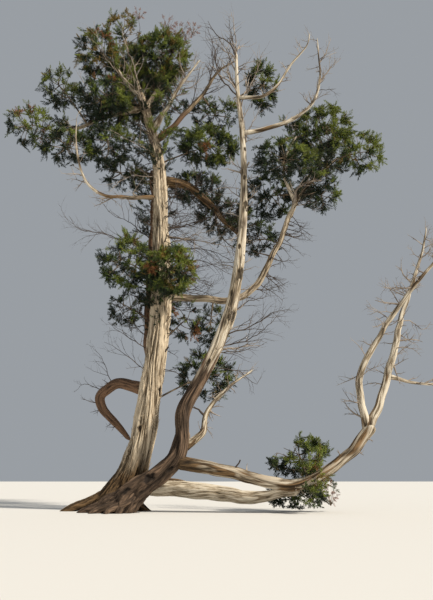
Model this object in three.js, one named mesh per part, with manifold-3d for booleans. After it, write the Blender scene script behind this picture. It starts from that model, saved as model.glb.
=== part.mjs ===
// A weathered coastal conifer, about 7.3 m tall: two trunks from one stool, bleached dead limbs
// and tufts of fine needles. Millimetres, +Z up, seen along +Y. The origin is the middle of the
// flat cut under the main trunk, at ground level.

import * as THREE from 'three';
import { mergeVertices } from 'three/addons/utils/BufferGeometryUtils.js';
import Module from 'manifold-3d';

const wasm = await Module();
wasm.setup();

// Driving dimensions
const TRUNK_RADIUS = 158; // main trunk just above its flare
const TRUNK_FLARE = 89; // what the flare adds at the ground
const TRUNK_FLARE_HEIGHT = 330; // height over which the flare fades
const SECOND_TRUNK_RADIUS = 120;
const SECOND_TRUNK_FLARE = 69;
const SECOND_TRUNK_FLARE_HEIGHT = 250;
const GROUND_MARGIN = 60; // how far a foot is drawn below the ground before the flat cut
const SEAT_GAP = 0.3; // between pieces that touch
const SPACE_GAP = 6; // between the spaces of neighbouring masses, to each side
const LIMB_CLEARANCE = 6; // between foliage and any limb
const RING_SPACING = 380; // between the rings of a limb
const FEWEST_STRETCHES = 3; // between the rings of a short limb
const TWIG_SIDES = 3;
const STEM_SIDES = 4;
const ROOT_SIDES = 6;
const DEAD_TWIG_RADIUS = 0.5; // butt of a dead twig, as a share of its limb's radius there

// A root bends at this share of its reach, down to this share of its height, and thins to its tip.
const ROOT_BEND = 0.55;
const ROOT_BEND_HEIGHT = 0.3;
const ROOT_TIP = 0.3;
const UNDERGROUND_SPAN = 4000; // of the block that makes the flat cut
const UNDERGROUND_DEPTH = 1000;

// A spray of needles, as shares of its length: how far its outer needles and its core stand off its
// middle line, how far along it they do so, and where it is at its broadest.
const NEEDLE_SPREAD = 0.38;
const CORE_SPREAD = 0.12;
const NEEDLE_AT = 0.74;
const CORE_AT = 0.4;
const NEEDLE_MARGIN = 0.8; // share of that spread that has to keep clear of limbs
const SPRAY_NEEDLES = 3; // outer needles round each spray
const SPRAY_PATCH = 120000; // surface of a mass for each of its sprays
const SPRAYS_APART = 170;
const SPRAYS_A_TWIG = 3;
const FEWEST_SPRAYS = 8;
const SPRAY_ATTEMPTS = 12; // places and turns tried for each spray
const SPRAY_SHORTENING = 0.3; // how much nearer the middle the last of them ends
const SPRAY_SCATTER = 0.3; // how far a spray strays from its even direction
const SPRAY_FOOT_FROM = 0.35; // where sprays leave a twig, as shares of its length
const SPRAY_FOOT_TO = 0.85;
const TWIG_SHARE = 0.6; // where twigs end, as a share of the way from a mass's middle to its surface
const TWIG_SLANT = 0.3; // how far behind its nearest point on the stem a twig leaves it
const TWIG_RADIUS = 7;
const STEM_BUTT_RADIUS = 17;
const STEM_TIP_RADIUS = 5;
const STEM_FIT = 0.7; // most of its carrier's radius that a stem's foot takes up
const STEM_OVERRUN = 0.3; // how far past the mass's middle its stem runs, as a share of its reach
const SPACE_SLACK = 1.04; // how far out of the ellipsoid a corner may stand
const LIMB_SLACK = 1.08; // fluting and bends that limbs add to their radius
const NEIGHBOUR_RANGE = 1.5; // masses farther apart than this share of their reaches never meet
const PARALLEL = 1e-9; // below this two lines count as parallel
const FOLIAGE_SEED = 41;

const bark = { color: 0x8a7765, roughness: 0.95, metalness: 0 };
const brownBark = { color: 0x6f5240, roughness: 0.95, metalness: 0 };
const bleachedWood = { color: 0xb3a795, roughness: 0.85, metalness: 0 };
const sunlitNeedles = { color: 0x6d7a35, roughness: 0.8, metalness: 0 };
const shadedNeedles = { color: 0x3f5230, roughness: 0.85, metalness: 0 };

// Each limb follows a smooth curve through its course, from its root inside the limb that carries
// it. Its radius runs from butt to tip; a higher fullness keeps it thick for longer. Its pieces
// are [name, share of the length where the piece ends]. A root is [bearing, reach, height,
// radius] and a dead twig is [share of the length, bearing, rise, length], angles in degrees.
const limbs = [
  {
    pieces: [['main_trunk', 1]], butt: TRUNK_RADIUS, tip: 20, fullness: 2, sides: 14, look: bark,
    flare: TRUNK_FLARE, flareHeight: TRUNK_FLARE_HEIGHT, flutes: 4, fluteDepth: 0.07,
    course: [[0, 0, -GROUND_MARGIN], [300, -20, 675], [470, -100, 1740], [540, -120, 2815],
      [500, -120, 3890], [450, -120, 4730], [260, -120, 5500], [75, -90, 6050], [-45, -20, 6560]],
    roots: [[180, 660, 330, 120], [128, 450, 300, 105], [65, 430, 280, 110], [12, 480, 260, 100],
      [232, 430, 280, 110]],
    twigs: [[0.55, 4, -16, 620], [0.61, 200, 45, 380], [0.48, 12, 18, 560], [0.75, 250, 30, 300]],
  },
  {
    pieces: [['bare_trunk_foot', 0.17], ['bare_trunk', 1]], butt: SECOND_TRUNK_RADIUS, tip: 19,
    fullness: 1, sides: 10, look: bleachedWood, flare: SECOND_TRUNK_FLARE,
    flareHeight: SECOND_TRUNK_FLARE_HEIGHT, flutes: 3, fluteDepth: 0.06,
    course: [[55, -360, -GROUND_MARGIN], [260, -360, 175], [450, -370, 325], [780, -390, 625],
      [850, -400, 800], [880, -420, 1195], [1110, -420, 1625], [1350, -420, 2135],
      [1505, -420, 2655], [1600, -420, 3340], [1650, -420, 4125], [1630, -420, 5030],
      [1570, -420, 5740], [1560, -420, 6285]],
    roots: [[262, 300, 260, 85]],
    twigs: [[0.35, 12, 29, 690], [0.78, 355, 62, 400], [0.86, 350, 68, 900], [0.89, 175, 64, 620],
      [0.91, 185, 68, 960], [0.95, 190, 52, 700], [0.96, 8, 26, 260], [0.98, 187, 51, 640],
      [0.985, 170, 81, 640], [0.72, 170, 20, 330], [0.66, 20, 35, 300]],
  },
  {
    pieces: [['rear_stem', 1]], butt: 80, tip: 42, fullness: 1, sides: 8, look: brownBark,
    carrier: 'main_trunk',
    course: [[450, -80, 1800], [375, 110, 2250], [365, 130, 2885], [375, 130, 3545],
      [385, 120, 4225], [345, 120, 4690]],
    twigs: [[0.55, 190, 25, 420], [0.7, 170, 40, 300], [0.3, 200, 30, 330]],
  },
  {
    pieces: [['reaching_limb', 0.56], ['reaching_limb_rise', 1]], butt: 80, tip: 65, fullness: 1,
    sides: 8, look: bleachedWood, carrier: 'bare_trunk_foot',
    course: [[720, -390, 590], [1140, -450, 530], [2130, -520, 325], [2460, -520, 405],
      [2870, -480, 680], [3165, -440, 1025]],
    twigs: [[0.79, 175, 62, 130], [0.86, 350, -50, 140], [0.93, 0, -20, 130], [0.34, 100, 60, 150]],
  },
  {
    pieces: [['outer_fork_right', 1]], butt: 58, tip: 9, fullness: 1.3, sides: 8,
    look: bleachedWood, carrier: 'reaching_limb_rise',
    course: [[3150, -440, 985], [3305, -400, 1330], [3475, -340, 1775], [3645, -280, 2310],
      [4055, -160, 3335], [4170, -120, 3730]],
    twigs: [[0.33, 355, -60, 330], [0.42, 5, -10, 400], [0.62, 20, 40, 420], [0.7, 165, 35, 330],
      [0.83, 10, 20, 330], [0.9, 170, 50, 260]],
  },
  {
    pieces: [['outer_fork_left', 1]], butt: 50, tip: 13, fullness: 1.2, sides: 8,
    look: bleachedWood, carrier: 'reaching_limb_rise',
    course: [[3150, -440, 985], [3040, -460, 1325], [3055, -500, 1640], [3415, -560, 2255],
      [3705, -620, 2650], [4330, -740, 3340]],
    twigs: [[0.05, 170, 35, 340], [0.6, 178, 6, 320], [0.7, 182, -18, 400], [0.78, 172, 20, 260],
      [0.85, 100, 50, 300], [0.93, 200, 45, 250]],
  },
  {
    pieces: [['outer_side_low', 1]], butt: 26, tip: 6, fullness: 1, sides: 6, look: bleachedWood,
    carrier: 'outer_fork_right',
    course: [[3410, -363, 1620], [3795, -270, 1545], [4060, -220, 1555], [4450, -120, 1765]],
    twigs: [[0.45, 15, 40, 300], [0.7, 340, -20, 260]],
  },
  {
    pieces: [['fallen_stem', 1]], butt: 112, tip: 42, fullness: 2, sides: 8, look: bleachedWood,
    carrier: 'main_trunk',
    course: [[220, -20, 330], [915, -100, 265], [1565, -220, 185], [1860, -300, 185],
      [2270, -400, 255]],
  },
  {
    pieces: [['arch_limb', 0.55], ['arch_limb_end', 1]], butt: 74, tip: 26, fullness: 3, sides: 8,
    look: brownBark, carrier: 'main_trunk',
    course: [[400, -60, 1470], [15, 130, 1590], [-150, 200, 1550], [-275, 260, 1420],
      [-240, 260, 1275], [0, 230, 1040], [150, 210, 870]],
  },
  {
    pieces: [['base_snag', 1]], butt: 50, tip: 7, fullness: 1.2, sides: 8, look: bleachedWood,
    carrier: 'bare_trunk_foot',
    course: [[825, -390, 700], [1090, -260, 920], [1160, -200, 1180], [1385, -140, 1465],
      [1765, -60, 1760]],
    twigs: [[0.47, 330, -45, 160], [0.62, 20, 20, 260], [0.8, 30, 60, 260], [0.9, 350, -10, 200]],
  },
  {
    pieces: [['cross_limb', 0.27], ['right_bough', 1]], butt: 48, tip: 20, fullness: 2, sides: 8,
    look: bark, carrier: 'main_trunk',
    course: [[540, -120, 2700], [1060, -60, 2720], [1500, -40, 2695], [1785, -40, 2880],
      [2110, -40, 3450], [2485, -40, 4275], [3010, -60, 4800]],
    twigs: [[0.44, 350, 40, 500], [0.76, 10, 31, 560], [0.5, 170, 35, 320], [0.6, 20, 10, 300]],
  },
  {
    pieces: [['right_bough_rise', 1]], butt: 28, tip: 14, fullness: 1, sides: 6, look: bark,
    carrier: 'right_bough',
    course: [[2385, -45, 4080], [2225, -140, 4505], [2260, -180, 4775], [2430, -130, 5110]],
  },
  {
    pieces: [['right_rear_bough', 1]], butt: 30, tip: 15, fullness: 1, sides: 6, look: bark,
    carrier: 'right_bough',
    course: [[2300, -40, 3890], [2480, 250, 4400], [2700, 560, 4850], [2900, 760, 5130]],
  },
  {
    pieces: [['mid_bough', 1]], butt: 68, tip: 28, fullness: 1.2, sides: 8, look: bark,
    carrier: 'main_trunk',
    course: [[485, -120, 4400], [835, -20, 4390], [1030, 40, 4265], [1455, 100, 3835],
      [1610, 120, 3675]],
    twigs: [[0.9, 340, -10, 420], [0.97, 20, -40, 330]],
  },
  {
    pieces: [['left_arm', 1]], butt: 42, tip: 16, fullness: 1.2, sides: 8, look: bark,
    carrier: 'main_trunk',
    course: [[215, -120, 5590], [-25, -70, 5530], [-385, -70, 5430], [-715, -100, 5250],
      [-1090, -140, 5180]],
  },
  {
    pieces: [['crown_leader_left', 1]], butt: 34, tip: 18, fullness: 1, sides: 6, look: bark,
    carrier: 'main_trunk',
    course: [[170, -120, 5690], [-20, -220, 5910], [-245, -370, 6190]],
  },
  {
    pieces: [['crown_leader_right', 1]], butt: 38, tip: 20, fullness: 1, sides: 6, look: bark,
    carrier: 'main_trunk',
    course: [[250, -120, 5510], [340, -20, 5795], [430, 60, 6120], [450, 80, 6290]],
  },
  {
    pieces: [['back_bough', 1]], butt: 58, tip: 24, fullness: 1, sides: 8, look: bark,
    carrier: 'main_trunk',
    course: [[405, -120, 4900], [270, 330, 5470], [65, 680, 5995], [100, 850, 6400]],
  },
  {
    pieces: [['pale_limb', 1]], butt: 38, tip: 11, fullness: 1.2, sides: 6, look: bleachedWood,
    carrier: 'main_trunk',
    course: [[355, -120, 5160], [545, -240, 5425], [700, -320, 5695], [1045, -460, 6120]],
    twigs: [[0.55, 30, 65, 330], [0.75, 190, 60, 380], [0.85, 10, 20, 240]],
  },
  {
    pieces: [['dark_limb', 1]], butt: 44, tip: 11, fullness: 1.2, sides: 6, look: bark,
    carrier: 'main_trunk',
    course: [[395, -120, 4990], [775, -220, 5340], [1070, -170, 5745], [1300, -120, 6165],
      [1570, -90, 6390]],
    twigs: [[0.72, 100, 70, 320], [0.85, 180, 70, 420], [0.93, 350, 60, 300]],
  },
  {
    pieces: [['whip_right', 0.49], ['whip_right_rise', 1]], butt: 31, tip: 7, fullness: 1.5,
    sides: 6, look: bleachedWood, carrier: 'bare_trunk',
    course: [[1630, -420, 4980], [1965, -400, 5060], [2450, -360, 5300], [2615, -340, 5475],
      [2760, -320, 5875], [2765, -300, 6240], [2760, -280, 6645]],
    twigs: [[0.66, 5, 49, 470], [0.8, 10, 63, 400], [0.3, 20, 50, 260], [0.9, 175, 60, 260]],
  },
  {
    pieces: [['whip_middle', 1]], butt: 24, tip: 7, fullness: 1.5, sides: 6, look: bleachedWood,
    carrier: 'bare_trunk',
    course: [[1590, -420, 5530], [1915, -480, 5525], [2090, -540, 5615], [2330, -600, 5970],
      [2545, -640, 6235], [2595, -660, 6430]],
    twigs: [[0.55, 60, 40, 260], [0.8, 190, 70, 260]],
  },
  {
    pieces: [['left_dead_bough', 1]], butt: 30, tip: 7, fullness: 1.3, sides: 6,
    look: bleachedWood, carrier: 'main_trunk',
    course: [[485, -120, 4160], [60, -300, 4080], [-220, -470, 4030], [-395, -570, 4115],
      [-530, -700, 4395], [-565, -820, 4975], [-500, -840, 5125]],
    twigs: [[0.3, 190, -25, 330], [0.55, 200, 20, 300], [0.7, 150, 45, 260], [0.86, 20, 50, 220]],
  },
];

// Each mass of foliage keeps to its own space, an ellipsoid of the reach given about its middle.
// Its stem leaves the limb named at the share of that limb's length given.
const masses = [
  ['crown_top_left', 'crown_leader_left', 0.97, [-435, -420, 6270], [360, 360, 385],
    sunlitNeedles],
  ['crown_peak', 'main_trunk', 0.985, [-130, -20, 6920], [350, 330, 380], sunlitNeedles],
  ['crown_top_right', 'crown_leader_right', 0.97, [455, 30, 6515], [470, 420, 485],
    sunlitNeedles],
  ['crown_left', 'crown_leader_left', 0.35, [-300, -420, 5535], [420, 380, 350], shadedNeedles],
  ['crown_right', 'main_trunk', 0.8, [640, -120, 5690], [315, 330, 315], shadedNeedles],
  ['crown_back', 'back_bough', 0.62, [-35, 430, 6140], [465, 380, 465], shadedNeedles],
  ['crown_rear', 'back_bough', 0.98, [135, 980, 6860], [550, 420, 490], sunlitNeedles],
  ['arm_tip', 'left_arm', 0.98, [-1355, -220, 5210], [370, 360, 340], sunlitNeedles],
  ['arm_upper', 'left_arm', 0.62, [-1025, -20, 5960], [340, 350, 355], sunlitNeedles],
  ['arm_middle', 'left_arm', 0.75, [-760, -420, 4770], [465, 340, 275], shadedNeedles],
  ['arm_inner', 'left_arm', 0.46, [-240, -270, 4870], [390, 380, 320], shadedNeedles],
  ['trunk_left', 'rear_stem', 0.98, [-80, 230, 4700], [405, 340, 290], shadedNeedles],
  ['middle_bright', 'main_trunk', 0.71, [1155, -20, 4990], [490, 380, 315], sunlitNeedles],
  ['middle_back', 'dark_limb', 0.55, [1240, 380, 5775], [430, 350, 275], shadedNeedles],
  ['middle_low', 'mid_bough', 0.36, [990, 360, 4520], [445, 340, 290], shadedNeedles],
  ['middle_under', 'mid_bough', 0.56, [1330, 450, 4110], [410, 350, 320], shadedNeedles],
  ['bare_tuft', 'bare_trunk', 0.87, [1940, -150, 5895], [275, 270, 435], sunlitNeedles],
  ['right_top', 'right_bough_rise', 0.97, [2810, 0, 5285], [525, 420, 380], sunlitNeedles],
  ['right_tip', 'right_bough', 0.985, [3345, -120, 4840], [340, 340, 340], sunlitNeedles],
  ['right_mid', 'right_bough_rise', 0.42, [2200, -450, 4555], [490, 350, 315], shadedNeedles],
  ['right_low', 'right_bough', 0.8, [2715, -70, 4260], [365, 340, 310], shadedNeedles],
  ['right_back', 'right_bough', 0.7, [2040, 420, 4405], [475, 400, 385], shadedNeedles],
  ['right_under', 'right_bough', 0.4, [1925, 180, 3640], [310, 290, 285], shadedNeedles],
  ['right_rear', 'right_rear_bough', 0.97, [2930, 880, 5400], [575, 430, 480], sunlitNeedles],
  ['lower_left', 'main_trunk', 0.45, [65, -270, 3155], [385, 380, 440], sunlitNeedles],
  ['lower_front', 'main_trunk', 0.41, [690, -580, 2940], [370, 300, 370], sunlitNeedles],
  ['lower_left_under', 'main_trunk', 0.36, [80, -20, 2605], [310, 300, 295], shadedNeedles],
  ['lower_right', 'main_trunk', 0.32, [845, 30, 2410], [295, 280, 310], shadedNeedles],
  ['lower_far', 'cross_limb', 0.72, [1190, 330, 2425], [290, 290, 335], shadedNeedles],
  ['lower_back', 'main_trunk', 0.215, [1125, 280, 1720], [460, 340, 390], shadedNeedles],
  ['limb_tuft', 'reaching_limb_rise', 0.12, [2315, -140, 645], [445, 320, 300], shadedNeedles],
  ['limb_tuft_under', 'reaching_limb_rise', 0.3, [2255, -150, 160], [440, 260, 170],
    shadedNeedles],
].map(([name, carrier, at, centre, reach, look]) => ({
  name, carrier, at, look, centre: vector(centre), reach: vector(reach), sprays: [],
}));

function vector([x, y, z]) {
  return new THREE.Vector3(x, y, z);
}

// Unit vector at a bearing round +Z from +X and a rise above the level, both in degrees.
function heading(bearing, rise) {
  const turn = THREE.MathUtils.degToRad(bearing);
  const lift = THREE.MathUtils.degToRad(rise);
  return new THREE.Vector3(
    Math.cos(turn) * Math.cos(lift), Math.sin(turn) * Math.cos(lift), Math.sin(lift));
}

// Seeded random numbers from 0 to 1.
function seededRandom(seed) {
  let state = seed >>> 0;
  return () => {
    state = (state + 0x6d2b79f5) >>> 0;
    let mixed = Math.imul(state ^ (state >>> 15), state | 1);
    mixed ^= mixed + Math.imul(mixed ^ (mixed >>> 7), mixed | 61);
    return ((mixed ^ (mixed >>> 14)) >>> 0) / 4294967296;
  };
}

// The geometry with only its positions left and its shared vertices merged.
function merged(geometry) {
  geometry.deleteAttribute('normal');
  geometry.deleteAttribute('uv');
  return mergeVertices(geometry);
}

function solidOf(geometry) {
  return new wasm.Manifold(new wasm.Mesh({
    numProp: 3,
    vertProperties: new Float32Array(geometry.attributes.position.array),
    triVerts: new Uint32Array(geometry.index.array),
  }));
}

// Moves every vertex of a merged geometry by a rule.
function reshape(geometry, place) {
  const position = geometry.attributes.position;
  const vertex = new THREE.Vector3();
  for (let i = 0; i < position.count; i++) {
    const moved = place(vertex.fromBufferAttribute(position, i));
    position.setXYZ(i, moved.x, moved.y, moved.z);
  }
  return geometry;
}

// The largest body of a solid: it drops loose scraps and fills any hollow that fusing has sealed.
function largestBody(solid) {
  const bodies = solid.decompose();
  return bodies.reduce((best, body) => (body.volume() > best.volume() ? body : best));
}

// Rings of a limb: a middle, two directions across and a radius for each.
function limbRings(limb) {
  const curve = new THREE.CatmullRomCurve3(limb.course.map(vector), false, 'centripetal');
  const length = curve.getLength();
  const count = Math.max(FEWEST_STRETCHES, Math.ceil(length / RING_SPACING));
  const frames = curve.computeFrenetFrames(count, false);
  const rings = [];
  for (let i = 0; i <= count; i++) {
    const share = i / count;
    const middle = curve.getPointAt(share);
    const flare = (limb.flare ?? 0) * Math.exp(-Math.max(0, middle.z) / (limb.flareHeight ?? 1));
    rings.push({
      middle,
      along: frames.tangents[i],
      across: frames.normals[i],
      beside: frames.binormals[i].clone().negate(),
      radius: limb.tip + (limb.butt - limb.tip) * (1 - share ** limb.fullness) + flare,
      turn: share * Math.PI,
    });
  }
  return rings;
}

// A closed tube through rings, swollen by a margin all round and past both ends.
function tubeSolid(rings, sides, { swell = 0, flutes = 0, fluteDepth = 0 } = {}) {
  const steps = rings.length - 1;
  const tube = merged(new THREE.CylinderGeometry(1, 1, 1, sides, steps));
  reshape(tube, (vertex) => {
    const index = Math.round((vertex.y + 0.5) * steps);
    const ring = rings[index];
    const angle = Math.atan2(vertex.z, vertex.x);
    const fluting = 1 + fluteDepth * Math.cos(flutes * angle + ring.turn);
    const radius = vertex.x || vertex.z ? ring.radius * fluting + swell : 0;
    const end = index === 0 ? -swell : index === steps ? swell : 0;
    return ring.middle.clone()
      .addScaledVector(ring.across, Math.cos(angle) * radius)
      .addScaledVector(ring.beside, Math.sin(angle) * radius)
      .addScaledVector(ring.along, end);
  });
  return solidOf(tube);
}

// A straight three-sided spike from a foot to a tip, as a twig is.
function twigSolid(foot, tip, radius, swell = 0) {
  const along = tip.clone().sub(foot).normalize();
  const cone = merged(new THREE.ConeGeometry(radius + 2 * swell, 1, TWIG_SIDES, 1));
  cone.translate(0, 0.5, 0);
  const turn = new THREE.Quaternion().setFromUnitVectors(new THREE.Vector3(0, 1, 0), along);
  const length = tip.distanceTo(foot) * (1 + (2 * swell) / radius);
  reshape(cone, (vertex) => vertex.clone().setY(vertex.y * length).applyQuaternion(turn).add(foot));
  return solidOf(cone);
}

// A root that runs out from the stool and sinks into the ground.
function rootSolid(middle, [bearing, reach, height, radius], swell) {
  const out = heading(bearing, 0);
  const rings = limbRings({
    course: [
      middle.clone().setZ(height),
      middle.clone().addScaledVector(out, reach * ROOT_BEND).setZ(height * ROOT_BEND_HEIGHT),
      middle.clone().addScaledVector(out, reach).setZ(-GROUND_MARGIN / 2),
    ].map((point) => point.toArray()),
    butt: radius, tip: radius * ROOT_TIP, fullness: 1,
  });
  return tubeSolid(rings, ROOT_SIDES, { swell });
}

// What lies under the ground, as a block to cut away.
function belowGround() {
  const block = new THREE.BoxGeometry(UNDERGROUND_SPAN, UNDERGROUND_SPAN, UNDERGROUND_DEPTH);
  block.translate(0, 0, -UNDERGROUND_DEPTH / 2);
  return solidOf(merged(block));
}

// The place on a limb's rings at a share of its length.
function placeOn(rings, share) {
  const at = share * (rings.length - 1);
  const index = Math.min(Math.floor(at), rings.length - 2);
  const between = at - index;
  const middle = rings[index].middle.clone().lerp(rings[index + 1].middle, between);
  const radius = THREE.MathUtils.lerp(rings[index].radius, rings[index + 1].radius, between);
  return { middle, radius };
}

function boxesMeet(a, b) {
  const first = a.boundingBox();
  const second = b.boundingBox();
  return [0, 1, 2].every((i) => first.min[i] < second.max[i] && second.min[i] < first.max[i]);
}

// Every limb piece by name: its rings, its solid and the swollen solid that later pieces keep off.
const grown = new Map();
const group = new THREE.Group();

function addNode(name, solid, look) {
  const { vertProperties, triVerts } = solid.getMesh();
  const geometry = new THREE.BufferGeometry();
  geometry.setAttribute('position', new THREE.BufferAttribute(new Float32Array(vertProperties), 3));
  geometry.setIndex(new THREE.BufferAttribute(new Uint32Array(triVerts), 1));
  geometry.computeVertexNormals();
  const mesh = new THREE.Mesh(geometry, new THREE.MeshStandardMaterial({ ...look, flatShading: true }));
  mesh.name = name;
  group.add(mesh);
}

// The foot and tip of each dead twig on a limb, with its butt radius and place along the limb.
function deadTwigs(limb, rings) {
  return (limb.twigs ?? []).map(([share, bearing, rise, length]) => {
    const { middle, radius } = placeOn(rings, share);
    return {
      at: share * (rings.length - 1),
      foot: middle,
      tip: middle.clone().addScaledVector(heading(bearing, rise), length),
      radius: radius * DEAD_TWIG_RADIUS,
    };
  });
}

// One piece of a limb with its twigs and roots, swollen by a margin.
function pieceSolid(limb, piece, swell) {
  let solid = tubeSolid(piece.rings, limb.sides, { ...limb, swell });
  for (const twig of piece.twigs) {
    solid = solid.add(twigSolid(twig.foot, twig.tip, twig.radius, swell));
  }
  if (piece.rings[0].middle.z < 0) {
    for (const root of limb.roots) {
      solid = solid.add(rootSolid(piece.rings[0].middle, root, swell));
    }
    solid = solid.subtract(belowGround());
  }
  return solid;
}

function growLimb(limb) {
  const rings = limbRings(limb);
  if (limb.carrier) {
    rings[0].middle = nearestOnLimb(grown.get(limb.carrier).rings, rings[0].middle);
  }
  const last = rings.length - 1;
  const twigs = deadTwigs(limb, rings);
  const earlier = [...grown.values()];
  let from = 0;
  for (const [name, endShare] of limb.pieces) {
    const to = Math.round(endShare * last);
    const own = rings.slice(from, to + 1).map((ring) => ({ ...ring, middle: ring.middle.clone() }));
    if (from > 0) {
      own[0].middle.addScaledVector(own[0].along, SEAT_GAP);
    }
    const piece = { rings: own, twigs: twigs.filter((twig) => twig.at >= from && twig.at < to) };
    let solid = pieceSolid(limb, piece, 0);
    for (const other of earlier) {
      if (boxesMeet(solid, other.swollen)) {
        solid = solid.subtract(other.swollen);
      }
    }
    grown.set(name, { name, ...piece, swollen: pieceSolid(limb, piece, SEAT_GAP) });
    addNode(name, largestBody(solid), limb.look);
    from = to;
  }
}

// The point of a limb's middle line that lies nearest to a point.
function nearestOnLimb(rings, point) {
  let best = rings[0].middle;
  for (let i = 0; i + 1 < rings.length; i++) {
    const span = new THREE.Line3(rings[i].middle, rings[i + 1].middle);
    const candidate = span.closestPointToPoint(point, true, new THREE.Vector3());
    if (candidate.distanceTo(point) < best.distanceTo(point)) {
      best = candidate;
    }
  }
  return best.clone();
}

// Shortest distance between two line segments.
function segmentGap(a, b, c, d) {
  const u = b.clone().sub(a);
  const v = d.clone().sub(c);
  const w = a.clone().sub(c);
  const uu = u.dot(u);
  const uv = u.dot(v);
  const vv = v.dot(v);
  const uw = u.dot(w);
  const vw = v.dot(w);
  const spread = uu * vv - uv * uv;
  let s = spread > PARALLEL ? THREE.MathUtils.clamp((uv * vw - vv * uw) / spread, 0, 1) : 0;
  const t = THREE.MathUtils.clamp((uv * s + vw) / vv, 0, 1);
  s = THREE.MathUtils.clamp((uv * t - uw) / uu, 0, 1);
  return a.clone().addScaledVector(u, s).distanceTo(c.clone().addScaledVector(v, t));
}

// Rays that foliage keeps clear of: every stretch of every limb, and the stem of every mass.
const obstacles = [];

function addObstacles() {
  for (const { name, rings, twigs } of grown.values()) {
    for (const { foot, tip, radius } of twigs) {
      obstacles.push({ owner: name, from: foot, to: tip, radius });
    }
    for (let i = 0; i + 1 < rings.length; i++) {
      const radius = Math.max(rings[i].radius, rings[i + 1].radius) * LIMB_SLACK;
      obstacles.push({ owner: name, from: rings[i].middle, to: rings[i + 1].middle, radius });
    }
  }
  for (const mass of masses) {
    const foot = placeOn(grown.get(mass.carrier).rings, mass.at);
    mass.foot = foot.middle;
    mass.stemRadius = Math.min(STEM_BUTT_RADIUS, foot.radius * STEM_FIT);
    mass.stemTip = mass.centre.clone().addScaledVector(
      mass.centre.clone().sub(mass.foot).normalize(),
      STEM_OVERRUN * Math.min(...mass.reach.toArray()));
    obstacles.push({
      owner: mass.name, from: mass.foot, to: mass.stemTip, radius: mass.stemRadius,
    });
  }
}

// Distance from a mass's middle to its surface along a direction.
function reachAlong(mass, direction) {
  return 1 / direction.clone().divide(mass.reach).length();
}

// Planes that part a mass's space from those of its neighbours.
function spaceWalls(mass) {
  const walls = [];
  for (const other of masses) {
    if (other !== mass) {
      const towards = other.centre.clone().sub(mass.centre);
      const apart = towards.length();
      towards.normalize();
      const own = reachAlong(mass, towards);
      const theirs = reachAlong(other, towards);
      if (apart < NEIGHBOUR_RANGE * (own + theirs)) {
        walls.push({ towards, limit: (apart * own) / (own + theirs) - SPACE_GAP });
      }
    }
  }
  return walls;
}

function keepsToSpace(mass, walls, point) {
  const offset = point.clone().sub(mass.centre);
  const inside = offset.clone().divide(mass.reach).length() <= SPACE_SLACK;
  return inside && point.z > SPACE_GAP && walls.every((wall) => offset.dot(wall.towards) < wall.limit);
}

function keepsClear(mass, from, to, radius) {
  return obstacles.every((obstacle) => obstacle.owner === mass.name
    || segmentGap(from, to, obstacle.from, obstacle.to) > obstacle.radius + radius + LIMB_CLEARANCE);
}

// A spray of needles: a slim core from foot to tip with a few needles that stand out of it.
function sprayGeometry(foot, tip, roll) {
  const along = tip.clone().sub(foot);
  const length = along.length();
  const turn = new THREE.Quaternion().setFromUnitVectors(
    new THREE.Vector3(0, 1, 0), along.clone().normalize());
  const spray = merged(new THREE.SphereGeometry(1, 2 * SPRAY_NEEDLES, 2));
  return reshape(spray, (vertex) => {
    const ring = Math.abs(vertex.y) < 0.5;
    const angle = Math.atan2(vertex.z, vertex.x);
    const outer = ring && Math.round((angle * SPRAY_NEEDLES) / Math.PI) % 2 === 0;
    const radius = ring ? length * (outer ? NEEDLE_SPREAD : CORE_SPREAD) : 0;
    const height = ring ? length * (outer ? NEEDLE_AT : CORE_AT) : length * (vertex.y > 0 ? 1 : 0);
    return new THREE.Vector3(
      Math.cos(angle + roll) * radius, height, Math.sin(angle + roll) * radius,
    ).applyQuaternion(turn).add(foot);
  });
}

// Directions spread evenly over a sphere.
function evenDirections(count, roll) {
  const goldenAngle = Math.PI * (3 - Math.sqrt(5));
  return Array.from({ length: count }, (_, i) => {
    const z = 1 - (2 * i + 1) / count;
    const across = Math.sqrt(1 - z * z);
    const turn = i * goldenAngle + roll;
    return new THREE.Vector3(Math.cos(turn) * across, Math.sin(turn) * across, z);
  });
}

// A spray from a place on a twig to a point near the mass's surface, or nothing if it would leave
// the mass's space, touch a limb or crowd another spray.
function growSpray(mass, walls, foot, target, roll) {
  const spray = sprayGeometry(foot, target, roll);
  const corners = spray.attributes.position;
  const corner = new THREE.Vector3();
  for (let i = 0; i < corners.count; i++) {
    if (!keepsToSpace(mass, walls, corner.fromBufferAttribute(corners, i))) {
      return null;
    }
  }
  const length = foot.distanceTo(target);
  const broad = foot.clone().lerp(target, CORE_AT);
  const clear = keepsClear(mass, broad, target, length * NEEDLE_SPREAD * NEEDLE_MARGIN)
    && keepsClear(mass, foot, broad, length * CORE_SPREAD)
    && mass.sprays.every(([from, to]) => segmentGap(broad, target, from, to) > SPRAYS_APART);
  if (!clear) {
    return null;
  }
  mass.sprays.push([broad, target]);
  return solidOf(spray);
}

// Where a twig of a mass leaves the stem for a direction, and where it ends.
function layTwig(mass, direction) {
  const stem = new THREE.Line3(mass.foot, mass.stemTip);
  const end = direction.clone().multiply(mass.reach).multiplyScalar(TWIG_SHARE).add(mass.centre);
  const nearest = stem.closestPointToPoint(end, true, new THREE.Vector3());
  const along = stem.delta(new THREE.Vector3()).normalize();
  const foot = nearest.clone().addScaledVector(along, -TWIG_SLANT * nearest.distanceTo(end));
  return { foot: keepsToSpace(mass, [], foot) ? foot : mass.centre.clone(), end, direction };
}

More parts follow.
